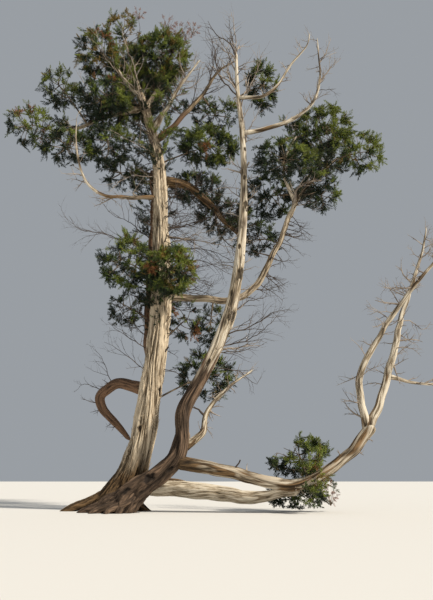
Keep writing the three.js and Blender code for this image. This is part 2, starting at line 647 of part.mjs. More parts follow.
// Grows a stem, twigs from the stem and sprays from the twigs, evenly round the mass's middle.
function growMass(mass, index) {
  const random = seededRandom(FOLIAGE_SEED + index);
  const { x, y, z } = mass.reach;
  const surface = (4 * Math.PI * (x * y + y * z + z * x)) / 3;
  const count = Math.max(FEWEST_SPRAYS, Math.round(surface / SPRAY_PATCH));
  const walls = spaceWalls(mass);
  const ends = limbRings({
    course: [mass.foot.toArray(), mass.stemTip.toArray()], butt: mass.stemRadius,
    tip: STEM_TIP_RADIUS, fullness: 1,
  });
  let solid = tubeSolid([ends[0], ends[ends.length - 1]], STEM_SIDES);
  const turn = random() * 2 * Math.PI;
  const twigs = evenDirections(Math.round(count / SPRAYS_A_TWIG), turn)
    .map((direction) => layTwig(mass, direction))
    .filter((twig) => keepsToSpace(mass, walls, twig.end)
      && keepsClear(mass, twig.foot, twig.end, TWIG_RADIUS));
  for (const twig of twigs) {
    solid = solid.add(twigSolid(twig.foot, twig.end, TWIG_RADIUS));
  }
  for (const direction of evenDirections(count, turn + random())) {
    const jitter = vector([random() - 0.5, random() - 0.5, random() - 0.5]);
    direction.addScaledVector(jitter, SPRAY_SCATTER).normalize();
    const near = twigs.toSorted((a, b) => b.direction.dot(direction) - a.direction.dot(direction));
    for (let attempt = 0; attempt < SPRAY_ATTEMPTS; attempt++) {
      const twig = near[attempt % Math.min(2, near.length)];
      const share = 1 - (SPRAY_SHORTENING * attempt) / SPRAY_ATTEMPTS;
      const target = direction.clone().multiply(mass.reach).multiplyScalar(share).add(mass.centre);
      const leaving = THREE.MathUtils.lerp(SPRAY_FOOT_FROM, SPRAY_FOOT_TO, random());
      const foot = twig.foot.clone().lerp(twig.end, leaving);
      const spray = growSpray(mass, walls, foot, target, random() * 2 * Math.PI);
      if (spray) {
        solid = solid.add(spray);
        break;
      }
    }
  }
  solid = solid.subtract(grown.get(mass.carrier).swollen);
  addNode(mass.name, largestBody(solid), mass.look);
}

limbs.forEach(growLimb);
addObstacles();
masses.forEach(growMass);

export default group;
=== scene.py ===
"""Grows the bark, bleached wood, dead twigs and needles of a weathered conifer on its frame.

Metres, +Z up, the tree seen along +Y. The origin is the middle of the flat cut under the trunk.
The tables are in millimetres and degrees, as the frame has them.
"""

import math

import bpy
import numpy as np
from bpy.props import FloatProperty, FloatVectorProperty, IntProperty, PointerProperty
from bpy.types import Operator, Panel, PropertyGroup
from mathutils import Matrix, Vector


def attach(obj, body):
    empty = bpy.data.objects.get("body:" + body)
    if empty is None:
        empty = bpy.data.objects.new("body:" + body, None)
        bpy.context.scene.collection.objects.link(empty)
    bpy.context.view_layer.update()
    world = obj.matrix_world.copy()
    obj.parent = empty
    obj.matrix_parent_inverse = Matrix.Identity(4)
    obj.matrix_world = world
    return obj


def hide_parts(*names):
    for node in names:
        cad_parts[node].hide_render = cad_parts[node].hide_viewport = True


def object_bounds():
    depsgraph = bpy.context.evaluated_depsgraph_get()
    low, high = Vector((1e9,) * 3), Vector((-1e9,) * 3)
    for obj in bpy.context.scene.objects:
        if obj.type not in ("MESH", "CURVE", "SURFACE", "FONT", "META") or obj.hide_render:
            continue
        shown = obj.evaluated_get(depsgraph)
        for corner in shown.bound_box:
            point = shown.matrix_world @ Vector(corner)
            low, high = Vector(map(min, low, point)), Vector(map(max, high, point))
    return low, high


bl_info = {
    "name": "Weathered Conifer",
    "version": (1, 0, 0),
    "blender": (4, 5, 0),
    "location": "View3D > Sidebar > Conifer",
    "description": "Grows the bark, twigs and needles of a weathered conifer on its frame",
    "category": "Add Mesh",
}

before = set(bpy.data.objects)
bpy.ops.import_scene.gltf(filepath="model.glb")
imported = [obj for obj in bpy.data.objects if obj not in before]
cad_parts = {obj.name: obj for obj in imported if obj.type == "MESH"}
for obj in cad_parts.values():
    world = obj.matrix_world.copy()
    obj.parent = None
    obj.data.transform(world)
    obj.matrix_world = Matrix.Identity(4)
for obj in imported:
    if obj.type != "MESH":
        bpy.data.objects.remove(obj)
CAD_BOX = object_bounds()

MM = 0.001
GOLDEN_ANGLE = math.pi * (3 - math.sqrt(5))
UP = np.array([0.0, 0.0, 1.0])
SUNWARD = np.array([0.68, -0.38, 0.63])
CAMERA_PLACE = (1.279, -8.32, 0.40)
COURSE_STEPS = 40  # places laid between two points of a course
LINE_SPACING = 0.01  # metres between the places of a limb's line
ROOTING = 0.35  # metres over which a limb bends to its carrier's line
BURIED = 0.3  # metres that a trunk's tube goes on under the ground before it is cut level
SPRAYS_IN_A_PIECE = 3600
FOLIAGE_SEED, SHRED_SEED, TWIG_SEED = 41, 77, 11
CLUMP_SIZE = 0.23  # metres across a clump of foliage
BARE_SHARE = 0.2  # share of a twig that bears no sprays at its foot
LIT_GREEN, LIT_SUNLIT = 0.42, 0.62  # least light of the green and the sunlit sprays


def limb_of(nodes, finish, carrier, butt, tip, fullness, course, twigs=(), more=()):
    """A limb of the table below, by the names of its values."""
    nodes = [(nodes, 1)] if isinstance(nodes, str) else nodes
    return {"nodes": nodes, "finish": finish, "carrier": carrier, "butt": butt, "tip": tip,
            "fullness": fullness, "course": course, "twigs": twigs, **dict(more)}


# Limbs as the frame has them: (nodes, finish, node that carries it, radius at butt, radius at tip,
# fullness, course, dead twigs, what it has besides). A higher fullness keeps it thick for longer.
# Two nodes are (name, share of the length where the node ends). A dead twig is (share of the
# length, bearing, rise, length), and a root is (bearing, reach, height where it leaves, radius).
LIMBS = [limb_of(*row) for row in (
    ("main_trunk", "stringy", None, 158, 20, 2,
     [(0, 0, -60), (300, -20, 675), (470, -100, 1740), (540, -120, 2815), (500, -120, 3890),
      (450, -120, 4730), (260, -120, 5500), (75, -90, 6050), (-45, -20, 6560)],
     [(0.55, 4, -16, 620), (0.61, 200, 45, 380), (0.48, 12, 18, 560), (0.75, 250, 30, 300)],
     {"flare": 89, "flare_height": 330, "roots": [(180, 660, 330, 120), (128, 450, 300, 105),
      (65, 430, 280, 110), (12, 480, 260, 100), (232, 430, 280, 110)]}),
    ([("bare_trunk_foot", 0.17), ("bare_trunk", 1)], "bare", None, 120, 19, 1,
     [(55, -360, -60), (260, -360, 175), (450, -370, 325), (780, -390, 625), (850, -400, 800),
      (880, -420, 1195), (1110, -420, 1625), (1350, -420, 2135), (1505, -420, 2655), (1600, -420, 3340),
      (1650, -420, 4125), (1630, -420, 5030), (1570, -420, 5740), (1560, -420, 6285)],
     [(0.35, 12, 29, 690), (0.78, 355, 62, 400), (0.86, 350, 68, 900), (0.89, 175, 64, 620),
      (0.91, 185, 68, 960), (0.95, 190, 52, 700), (0.96, 8, 26, 260), (0.98, 187, 51, 640),
      (0.985, 170, 81, 640), (0.72, 170, 20, 330), (0.66, 20, 35, 300)],
     {"flare": 69, "flare_height": 250, "roots": [(262, 300, 260, 85), (184, 430, 240, 105),
      (222, 340, 230, 85)]}),
    ("rear_stem", "brown", "main_trunk", 80, 42, 1,
     [(450, -80, 1800), (375, 110, 2250), (365, 130, 2885), (375, 130, 3545), (385, 120, 4225),
      (345, 120, 4690)],
     [(0.55, 190, 25, 420), (0.7, 170, 40, 300), (0.3, 200, 30, 330)]),
    ([("reaching_limb", 0.56), ("reaching_limb_rise", 1)], "bleached", "bare_trunk_foot", 80, 65, 1,
     [(720, -390, 590), (1140, -450, 530), (2130, -520, 325), (2460, -520, 405), (2870, -480, 680),
      (3165, -440, 1025)],
     [(0.79, 175, 62, 130), (0.86, 350, -50, 140), (0.93, 0, -20, 130), (0.34, 100, 60, 150)],
     {"collar": 0.12, "knuckle": 0.16}),
    ("outer_fork_right", "bleached", "reaching_limb_rise", 58, 9, 1.3,
     [(3112, -444, 930), (3305, -400, 1330), (3475, -340, 1775), (3645, -280, 2310), (4055, -160, 3335),
      (4170, -120, 3730)],
     [(0.33, 355, -60, 330), (0.42, 5, -10, 400), (0.62, 20, 40, 420), (0.7, 165, 35, 330),
      (0.83, 10, 20, 330), (0.9, 170, 50, 260)],
     {"collar": 0.06, "sunk": 0.9}),
    ("outer_fork_left", "bleached", "reaching_limb_rise", 50, 13, 1.2,
     [(3112, -444, 930), (3040, -460, 1325), (3055, -500, 1640), (3415, -560, 2255), (3705, -620, 2650),
      (4330, -740, 3340)],
     [(0.05, 170, 35, 340), (0.6, 178, 6, 320), (0.7, 182, -18, 400), (0.78, 172, 20, 260),
      (0.85, 100, 50, 300), (0.93, 200, 45, 250)],
     {"collar": 0.06, "sunk": 0.9}),
    ("outer_side_low", "bleached", "outer_fork_right", 26, 6, 1,
     [(3410, -363, 1620), (3795, -270, 1545), (4060, -220, 1555), (4450, -120, 1765)],
     [(0.45, 15, 40, 300), (0.7, 340, -20, 260)]),
    ("fallen_stem", "bleached", "main_trunk", 112, 42, 2,
     [(220, -20, 330), (915, -100, 265), (1565, -220, 185), (1860, -300, 185), (2270, -400, 255)]),
    ([("arch_limb", 0.55), ("arch_limb_end", 1)], "brown", "main_trunk", 74, 26, 3,
     [(400, -60, 1470), (15, 130, 1590), (-150, 200, 1550), (-275, 260, 1420), (-240, 260, 1275),
      (0, 230, 1040), (150, 210, 870)]),
    ("base_snag", "bleached", "bare_trunk_foot", 50, 7, 1.2,
     [(825, -390, 700), (1090, -260, 920), (1160, -200, 1180), (1385, -140, 1465), (1765, -60, 1760)],
     [(0.47, 330, -45, 160), (0.62, 20, 20, 260), (0.8, 30, 60, 260), (0.9, 350, -10, 200)]),
    ([("cross_limb", 0.27), ("right_bough", 1)], "barked", "main_trunk", 48, 20, 2,
     [(540, -120, 2700), (1060, -60, 2720), (1500, -40, 2695), (1785, -40, 2880), (2110, -40, 3450),
      (2485, -40, 4275), (3010, -60, 4800)],
     [(0.44, 350, 40, 500), (0.76, 10, 31, 560), (0.5, 170, 35, 320), (0.6, 20, 10, 300)]),
    ("right_bough_rise", "bleached", "right_bough", 28, 14, 1,
     [(2385, -45, 4080), (2225, -140, 4505), (2260, -180, 4775), (2430, -130, 5110)]),
    ("right_rear_bough", "barked", "right_bough", 30, 15, 1,
     [(2300, -40, 3890), (2480, 250, 4400), (2700, 560, 4850), (2900, 760, 5130)]),
    ("mid_bough", "barked", "main_trunk", 68, 28, 1.2,
     [(485, -120, 4400), (835, -20, 4390), (1030, 40, 4265), (1455, 100, 3835), (1610, 120, 3675)],
     [(0.9, 340, -10, 420), (0.97, 20, -40, 330)]),
    ("left_arm", "barked", "main_trunk", 42, 16, 1.2,
     [(215, -120, 5590), (-25, -70, 5530), (-385, -70, 5430), (-715, -100, 5250), (-1090, -140, 5180)]),
    ("crown_leader_left", "bleached", "main_trunk", 34, 18, 1,
     [(170, -120, 5690), (-20, -220, 5910), (-245, -370, 6190)]),
    ("crown_leader_right", "barked", "main_trunk", 38, 20, 1,
     [(250, -120, 5510), (340, -20, 5795), (430, 60, 6120), (450, 80, 6290)]),
    ("back_bough", "barked", "main_trunk", 58, 24, 1,
     [(405, -120, 4900), (270, 330, 5470), (65, 680, 5995), (100, 850, 6400)]),
    ("pale_limb", "bleached", "main_trunk", 38, 11, 1.2,
     [(355, -120, 5160), (545, -240, 5425), (700, -320, 5695), (1045, -460, 6120)],
     [(0.55, 30, 65, 330), (0.75, 190, 60, 380), (0.85, 10, 20, 240)]),
    ("dark_limb", "brown", "main_trunk", 44, 11, 1.2,
     [(395, -120, 4990), (775, -220, 5340), (1070, -170, 5745), (1300, -120, 6165), (1570, -90, 6390)],
     [(0.72, 100, 70, 320), (0.85, 180, 70, 420), (0.93, 350, 60, 300)]),
    ([("whip_right", 0.49), ("whip_right_rise", 1)], "bleached", "bare_trunk", 31, 7, 1.5,
     [(1630, -420, 4980), (1965, -400, 5060), (2450, -360, 5300), (2615, -340, 5475), (2760, -320, 5875),
      (2765, -300, 6240), (2760, -280, 6645)],
     [(0.66, 5, 49, 470), (0.8, 10, 63, 400), (0.3, 20, 50, 260), (0.9, 175, 60, 260)]),
    ("whip_middle", "bleached", "bare_trunk", 24, 7, 1.5,
     [(1590, -420, 5530), (1915, -480, 5525), (2090, -540, 5615), (2330, -600, 5970), (2545, -640, 6235),
      (2595, -660, 6430)],
     [(0.55, 60, 40, 260), (0.8, 190, 70, 260)]),
    ("left_dead_bough", "bleached", "main_trunk", 30, 3, 1.3,
     [(485, -120, 4160), (60, -300, 4080), (-220, -470, 4030), (-395, -570, 4115), (-530, -700, 4395),
      (-565, -820, 4975), (-500, -840, 5125)],
     [(0.3, 190, -25, 330), (0.55, 200, 20, 300), (0.7, 150, 45, 260), (0.86, 20, 50, 220)]),
)]

# Finer dead twigs along each limb: (node, from share, to share, how many, shortest, longest,
# middle bearing, spread of bearings, lowest rise, highest rise).
SCRUB = [
    ("main_trunk", 0.4, 0.66, 27, 420, 900, 0, 50, -30, 35),
    ("main_trunk", 0.28, 0.4, 8, 250, 520, 10, 60, -10, 45),
    ("main_trunk", 0.36, 0.7, 9, 220, 480, 185, 50, -15, 50),
    ("main_trunk", 0.68, 0.86, 12, 320, 680, 180, 60, -25, 35),
    ("main_trunk", 0.88, 1.0, 7, 300, 520, 60, 150, 35, 80),
    ("bare_trunk", 0.84, 1.0, 9, 120, 300, 180, 150, 10, 65),
    ("bare_trunk", 0.33, 0.48, 7, 260, 520, 10, 45, -5, 45),
    ("bare_trunk", 0.5, 0.84, 12, 160, 360, 20, 120, -10, 50),
    ("bare_trunk", 0.5, 0.74, 9, 260, 520, 175, 50, -20, 40),
    ("rear_stem", 0.2, 0.9, 9, 250, 520, 185, 60, -10, 50),
    ("reaching_limb_rise", 0.2, 0.95, 9, 60, 170, 350, 150, -60, 60),
    ("outer_fork_right", 0.2, 0.98, 26, 140, 430, 20, 150, -35, 55),
    ("outer_fork_left", 0.05, 0.98, 26, 140, 400, 190, 120, -35, 55),
    ("outer_side_low", 0.2, 0.98, 9, 110, 300, 10, 90, -30, 60),
    ("base_snag", 0.25, 0.98, 26, 70, 230, 20, 170, -50, 60),
    ("right_bough", 0.3, 0.92, 26, 230, 560, 5, 60, -45, 30),
    ("right_bough_rise", 0.15, 0.95, 7, 140, 300, 180, 120, -10, 50),
    ("right_rear_bough", 0.15, 0.9, 7, 200, 420, 60, 120, -20, 50),
    ("mid_bough", 0.15, 1.0, 20, 220, 540, 340, 90, -50, 40),
    ("left_arm", 0.2, 0.95, 9, 180, 420, 200, 120, -50, 40),
    ("crown_leader_left", 0.3, 1.0, 8, 260, 560, 170, 120, 20, 75),
    ("crown_leader_right", 0.5, 1.0, 8, 300, 620, 20, 100, 30, 75),
    ("back_bough", 0.3, 1.0, 8, 220, 480, 90, 150, 0, 70),
    ("pale_limb", 0.3, 1.0, 13, 140, 380, 60, 140, 10, 75),
    ("dark_limb", 0.3, 1.0, 15, 150, 420, 90, 140, 5, 75),
    ("whip_right", 0.15, 1.0, 10, 130, 330, 90, 150, 0, 65),
    ("whip_right_rise", 0.05, 1.0, 14, 140, 360, 60, 150, 15, 70),
    ("whip_middle", 0.2, 1.0, 12, 120, 300, 90, 150, 5, 70),
    ("left_dead_bough", 0.12, 1.0, 26, 130, 360, 180, 120, -40, 50),
    ("arch_limb", 0.3, 1.0, 7, 150, 320, 190, 70, -20, 50),
]

# Dead branches that stand alone, each traced by a few places: (node that carries it, look,
# girth, how often it forks, places from its foot to its tip).
# A pale look is partly painted sunlight and a dark one partly painted shade.
STRAYS = [
    ("main_trunk", "pale", 10, 1, [(262, -150, 5479), (204, -420, 5566), (145, -700, 5852),
     (8, -800, 6193), (-47, -780, 6468)]),
    ("main_trunk", "pale", 9, 1, [(193, -200, 5578), (107, -560, 5632), (-182, -800, 5828),
     (-327, -840, 6162), (-416, -820, 6485)]),
    ("left_arm", "pale", 7, 1, [(-475, -200, 5725), (-520, -480, 5655), (-600, -520, 5755),
     (-650, -540, 5900)]),
    ("main_trunk", "pale", 8, 1, [(345, -200, 4795), (60, -500, 4845), (-155, -640, 4915)]),
    ("main_trunk", "pale", 8, 2, [(375, -160, 4460), (55, -330, 4350), (-175, -430, 4090)]),
    ("main_trunk", "dark", 10, 2, [(415, -200, 3125), (90, -330, 3360), (-160, -370, 3515),
     (-395, -400, 3530), (-540, -420, 3565), (-675, -440, 3740)]),
    ("main_trunk", "dark", 8, 2, [(390, -120, 1970), (115, -250, 2155), (-120, -300, 2330)]),
    ("main_trunk", "dark", 7, 2, [(355, -100, 2070), (135, -200, 2380), (-60, -260, 2635)]),
    ("main_trunk", "dark", 7, 2, [(355, -80, 1665), (55, -160, 1965), (-175, -200, 2090)]),
    ("main_trunk", "dark", 8, 2, [(405, -120, 2265), (225, -240, 2560), (125, -300, 2730)]),
    ("rear_stem", "dark", 8, 2, [(305, 100, 3610), (45, 0, 3840), (-175, -60, 3930), (-290, -80, 4075)]),
    ("crown_leader_right", "dark", 9, 0, [(270, -80, 5970), (135, -30, 6785), (85, 0, 7315)]),
    ("crown_leader_right", "dark", 9, 1, [(445, 60, 6255), (495, 40, 6735), (535, 20, 7150)]),
    ("crown_leader_right", "dark", 7, 1, [(455, 60, 6325), (690, 40, 6770), (920, 20, 7060)]),
    ("crown_leader_right", "dark", 7, 1, [(390, 20, 6040), (670, 0, 6420), (815, -20, 6900)]),
    ("crown_leader_right", "pale", 7, 1, [(365, 20, 5920), (740, -60, 6105), (1030, -80, 6540)]),
    ("main_trunk", "pale", 10, 2, [(590, -120, 3580), (1055, -200, 3480), (1550, -340, 3315)]),
    ("main_trunk", "dark", 8, 2, [(595, -120, 3205), (1055, -160, 3210), (1510, -180, 2990)]),
    ("main_trunk", "dark", 8, 2, [(595, -120, 3380), (1140, -200, 3350), (1670, -240, 3080)]),
    ("main_trunk", "dark", 8, 2, [(585, -120, 3640), (1050, -60, 3830), (1495, -20, 3950)]),
    ("main_trunk", "pale", 8, 2, [(620, -120, 3435), (975, -260, 3540), (1350, -340, 3610)]),
    ("main_trunk", "dark", 7, 2, [(585, -120, 3025), (930, -240, 2945), (1245, -300, 2800)]),
    ("main_trunk", "dark", 7, 2, [(590, -120, 2880), (945, -60, 3115), (1410, 0, 3250)]),
    ("mid_bough", "dark", 9, 2, [(1160, 30, 3955), (1355, 0, 3600), (1600, -60, 3400), (1900, -80, 3295)]),
    ("mid_bough", "pale", 7, 2, [(1045, 30, 4185), (1245, -60, 4295), (1495, -120, 4315),
     (1855, -160, 4160)]),
    ("bare_trunk", "dark", 10, 2, [(1400, -420, 2095), (1730, -400, 2255), (2015, -380, 2440),
     (2225, -360, 2485)]),
    ("bare_trunk", "dark", 9, 2, [(1375, -420, 1940), (1675, -460, 2060), (1950, -480, 2260),
     (2080, -500, 2410)]),
    ("bare_trunk", "dark", 8, 2, [(1350, -420, 1865), (1625, -400, 1945), (1880, -380, 2025)]),
    ("bare_trunk", "dark", 8, 2, [(1475, -420, 2355), (1735, -360, 2610), (2050, -320, 2675)]),
    ("bare_trunk", "dark", 8, 2, [(1275, -420, 1665), (1570, -380, 1670), (1770, -340, 1525),
     (1850, -330, 1625)]),
    ("right_bough", "dark", 7, 2, [(2200, -40, 3730), (2410, -120, 3640), (2590, -160, 3480)]),
    ("right_bough", "dark", 7, 2, [(2110, -40, 3525), (2325, 40, 3495), (2495, 80, 3350)]),
    ("right_bough", "dark", 7, 2, [(2010, -40, 3305), (2195, -100, 3230), (2380, -140, 3230)]),
    ("right_bough", "dark", 6, 2, [(1910, -40, 3090), (2075, 0, 2990), (2225, 20, 2855)]),
    ("right_bough", "pale", 24, 1, [(2321, -45, 4044), (2397, -160, 4249), (2498, -230, 4325),
     (2726, -260, 4345)]),
    ("right_bough", "pale", 7, 2, [(2335, -45, 4075), (2575, -120, 4055), (2730, -160, 3950)]),
    ("bare_trunk", "dark", 12, 1, [(1580, -420, 5535), (1315, -430, 5915), (1230, -440, 6405),
     (1155, -450, 6665)]),
    ("bare_trunk", "dark", 14, 1, [(1560, -420, 6185), (1473, -440, 6423), (1345, -450, 6494),
     (1214, -460, 6638), (1155, -470, 6771)]),
    ("bare_trunk", "dark", 10, 1, [(1505, -420, 6350), (1473, -440, 6654), (1459, -440, 6883)]),
    ("bare_trunk", "pale", 9, 1, [(1560, -400, 6165), (1550, -380, 6620), (1505, -370, 7005)]),
    ("bare_trunk", "pale", 8, 2, [(1585, -420, 6020), (1755, -440, 6105), (1925, -450, 6130)]),
    ("bare_trunk", "pale", 11, 1, [(1635, -400, 5485), (1755, -380, 5755), (1875, -370, 6055),
     (1950, -370, 6320)]),
    ("bare_trunk", "pale", 8, 1, [(1645, -420, 4875), (1800, -430, 5180), (1915, -440, 5425)]),
    ("bare_trunk", "pale", 9, 2, [(1580, -420, 5660), (1415, -300, 5970), (1300, -250, 5905),
     (1085, -220, 5830)]),
    ("whip_right_rise", "pale", 8, 1, [(2745, -320, 5860), (2900, -330, 6050), (3080, -340, 6245)]),
    ("whip_right_rise", "pale", 9, 1, [(2745, -320, 6190), (2885, -320, 6395), (2950, -330, 6590)]),
    ("whip_right_rise", "dark", 6, 2, [(2770, -320, 5695), (2930, -300, 5740), (3045, -280, 5655)]),
    ("pale_limb", "pale", 8, 2, [(770, -240, 5685), (980, -200, 5910), (1125, -180, 6260)]),
    ("dark_limb", "dark", 9, 2, [(1110, -150, 5975), (1240, -140, 6355), (1300, -120, 6645)]),
    ("dark_limb", "dark", 8, 2, [(840, -200, 5580), (985, -260, 5835), (1040, -300, 6140)]),
    ("arch_limb", "dark", 6, 2, [(-170, 160, 1755), (-265, 60, 1955), (-370, 20, 2080)]),
    ("arch_limb", "dark", 6, 2, [(-300, 210, 1590), (-480, 160, 1595), (-600, 140, 1485)]),
    ("outer_fork_right", "pale", 8, 2, [(3620, -260, 2365), (3805, -280, 2335), (3945, -300, 2225),
     (4040, -310, 2330)]),
    ("outer_fork_left", "dark", 6, 2, [(3055, -450, 1255), (2905, -480, 1310), (2810, -500, 1455)]),
    ("outer_fork_left", "pale", 6, 2, [(3485, -570, 2395), (3270, -590, 2415), (3150, -600, 2540)]),
    ("bare_trunk", "dark", 17, 0, [(1605, -420, 3700), (1660, -440, 3790), (1690, -450, 3850)]),
    ("bare_trunk", "dark", 18, 0, [(1545, -420, 3060), (1610, -450, 3140), (1640, -460, 3190)]),
    ("bare_trunk", "pale", 15, 0, [(1650, -420, 4420), (1705, -400, 4500), (1725, -400, 4550)]),
    ("main_trunk", "dark", 16, 0, [(470, -120, 1900), (640, -180, 1990), (660, -190, 2030)]),
    ("reaching_limb", "dark", 12, 0, [(1500, -480, 470), (1540, -520, 560), (1560, -530, 600)]),
    ("base_snag", "dark", 17, 1, [(1160, -200, 1130), (1035, -215, 1225), (925, -230, 1280)]),
    ("base_snag", "pale", 24, 0, [(985, -300, 760), (950, -310, 860), (935, -320, 930)]),
]

# Nodes whose own twigs are dark, partly their bark's colour and partly painted shade.
DARK_SCRUB = {"main_trunk", "rear_stem", "right_bough", "right_rear_bough", "mid_bough", "left_arm",
              "back_bough", "arch_limb", "dark_limb"}

# Where old dead needles still hang on a bare leader: a middle and a radius.
WITHERED = [
    ((85, 0, 7290), 110), ((535, 20, 7110), 120), ((705, 30, 7000), 110), ((920, 20, 7030), 110),
    ((815, -20, 6870), 90), ((2675, -100, 200), 130), ((2560, -120, 330), 100)
]

# Masses of foliage as the frame has them: (name, node that carries it, share of that node's
# length where its stem leaves, middle, reach, share of twigs that it keeps, how sunny, how yellow).
MASSES = [
    ("crown_top_left", "crown_leader_left", 0.97, (-435, -420, 6270), (360, 360, 385), 1.1, 0.02, 0.45),
    ("crown_peak", "main_trunk", 0.985, (-130, -20, 6920), (350, 330, 380), 0.85, 0.12, 0.45),
    ("crown_top_right", "crown_leader_right", 0.97, (455, 30, 6515), (470, 420, 485), 1.5, 0.1, 0.35),
    ("crown_left", "crown_leader_left", 0.35, (-300, -420, 5535), (420, 380, 350), 1.35, -0.12, 0.1),
    ("crown_right", "main_trunk", 0.8, (640, -120, 5690), (315, 330, 315), 0.6, 0.02, 0.15),
    ("crown_back", "back_bough", 0.62, (-35, 430, 6140), (465, 380, 465), 1.3, -0.12, 0.2),
    ("crown_rear", "back_bough", 0.98, (135, 980, 6860), (550, 420, 490), 0.75, 0.08, 0.3),
    ("arm_tip", "left_arm", 0.98, (-1355, -220, 5210), (370, 360, 340), 0.9, 0.05, 0.2),
    ("arm_upper", "left_arm", 0.62, (-1025, -20, 5960), (340, 350, 355), 0.9, 0.0, 0.15),
    ("arm_middle", "left_arm", 0.75, (-760, -420, 4770), (465, 340, 275), 1.0, -0.15, 0.05),
    ("arm_inner", "left_arm", 0.46, (-240, -270, 4870), (390, 380, 320), 1.1, -0.2, 0.05),
    ("trunk_left", "rear_stem", 0.98, (-80, 230, 4700), (405, 340, 290), 0.9, -0.2, 0.05),
    ("middle_bright", "main_trunk", 0.71, (1155, -20, 4990), (490, 380, 315), 1.9, 0.1, 0.15),
    ("middle_back", "dark_limb", 0.55, (1240, 380, 5775), (430, 350, 275), 1.0, -0.08, 0.1),
    ("middle_low", "mid_bough", 0.36, (990, 360, 4520), (445, 340, 290), 1.15, -0.2, 0.15),
    ("middle_under", "mid_bough", 0.56, (1330, 450, 4110), (410, 350, 320), 1.15, -0.2, 0.15),
    ("bare_tuft", "bare_trunk", 0.87, (1940, -150, 5895), (275, 270, 435), 1.2, -0.02, 0.1),
    ("right_top", "right_bough_rise", 0.97, (2810, 0, 5285), (525, 420, 380), 1.35, 0.13, 0.2),
    ("right_tip", "right_bough", 0.985, (3345, -120, 4840), (340, 340, 340), 1.1, 0.15, 0.2),
    ("right_mid", "right_bough_rise", 0.42, (2200, -450, 4555), (490, 350, 315), 1.2, -0.12, 0.1),
    ("right_low", "right_bough", 0.8, (2715, -70, 4260), (365, 340, 310), 0.9, -0.12, 0.1),
    ("right_back", "right_bough", 0.7, (2040, 420, 4405), (475, 400, 385), 1.1, -0.2, 0.05),
    ("right_under", "right_bough", 0.4, (1925, 180, 3640), (310, 290, 285), 0.9, -0.2, 0.1),
    ("right_rear", "right_rear_bough", 0.97, (2930, 880, 5400), (575, 430, 480), 0.75, 0.05, 0.2),
    ("lower_left", "main_trunk", 0.45, (65, -270, 3155), (385, 380, 440), 1.3, 0.05, 0.2),
    ("lower_front", "main_trunk", 0.41, (690, -580, 2940), (370, 300, 370), 2.2, 0.1, 0.3),
    ("lower_left_under", "main_trunk", 0.36, (80, -20, 2605), (310, 300, 295), 0.7, -0.2, 0.05),
    ("lower_right", "main_trunk", 0.32, (845, 30, 2410), (295, 280, 310), 0.7, -0.05, 0.25),
    ("lower_far", "cross_limb", 0.72, (1190, 330, 2425), (290, 290, 335), 0.75, -0.15, 0.1),
    ("lower_back", "main_trunk", 0.215, (1125, 280, 1720), (460, 340, 390), 1.1, -0.12, 0.15),
    ("limb_tuft", "reaching_limb_rise", 0.12, (2315, -140, 645), (445, 320, 300), 1.7, 0.1, 0.2),
    ("limb_tuft_under", "reaching_limb_rise", 0.3, (2255, -150, 160), (440, 260, 170), 1.3, -0.15, 0.2),
]

# Gaps where the sky or a limb shows through a mass: a middle and a radius for each, which reaches
# three times as far in depth.
SKY_GAPS = [
    ((2060, -140, 870), 230), ((2680, -200, 520), 150), ((-38, -20, 7352), 150), ((124, -20, 7116), 100),
    ((-201, -270, 3438), 130), ((-221, -270, 2755), 110), ((2560, -560, 4330), 150),
    ((1020, -160, 5640), 165), ((740, -160, 5478), 110)
]

# Leafy shoots that stand on the limbs inside a mass: (node, from share, to share, how many,
# longest).
SHOOTS = {
    "crown_top_left": [("crown_leader_left", 0.3, 1.0, 16, 300), ("main_trunk", 0.9, 0.97, 10, 340)],
    "crown_peak": [("main_trunk", 0.92, 1.0, 22, 330)],
    "crown_top_right": [("crown_leader_right", 0.25, 1.0, 22, 330)],
    "crown_left": [("left_arm", 0.2, 0.55, 20, 360), ("crown_leader_left", 0.05, 0.5, 10, 300)],
    "crown_back": [("back_bough", 0.3, 0.9, 18, 340)],
    "arm_upper": [("left_arm", 0.55, 0.9, 10, 320)],
    "arm_inner": [("left_arm", 0.05, 0.5, 18, 460), ("main_trunk", 0.72, 0.82, 10, 420)],
    "trunk_left": [("rear_stem", 0.62, 1.0, 20, 480)],
    "arm_tip": [("left_arm", 0.8, 1.0, 8, 300)],
    "crown_right": [("main_trunk", 0.76, 0.86, 10, 320)],
    "middle_bright": [("dark_limb", 0.06, 0.22, 8, 260), ("main_trunk", 0.66, 0.74, 14, 480)],
    "middle_back": [("dark_limb", 0.4, 0.6, 3, 260)],
    "middle_low": [("mid_bough", 0.15, 0.6, 10, 380)],
    "middle_under": [("mid_bough", 0.6, 1.0, 10, 380)],
    "right_top": [("right_bough_rise", 0.5, 1.0, 12, 360)],
    "right_mid": [("right_bough_rise", 0.2, 0.6, 6, 320)],
    "right_tip": [("right_bough", 0.86, 1.0, 14, 340)],
    "right_low": [("right_bough", 0.68, 0.84, 8, 320)],
    "right_rear": [("right_rear_bough", 0.5, 1.0, 10, 340)],
    "lower_left": [("main_trunk", 0.42, 0.5, 8, 420)],
    "lower_front": [("main_trunk", 0.39, 0.47, 34, 340)],
    "lower_right": [("main_trunk", 0.31, 0.36, 6, 340)],
    "limb_tuft": [("reaching_limb_rise", 0.02, 0.25, 16, 420)],
}

# Where needles have turned rust brown: a middle and a radius for each.
RUST_PATCHES = [
    ((-290, -560, 5760), 150), ((-1420, -330, 5290), 140), ((-1180, -200, 5080), 110),
    ((560, -500, 4950), 110), ((860, -200, 3640), 150), ((850, -100, 2420), 150), ((1000, 0, 2260), 130),
    ((930, -420, 2960), 120), ((2540, -300, 470), 150), ((1700, 100, 3300), 100),
    ((-330, -560, 6420), 120), ((420, -760, 2900), 90), ((1130, -230, 4790), 100)
]


# Directions and smooth noise

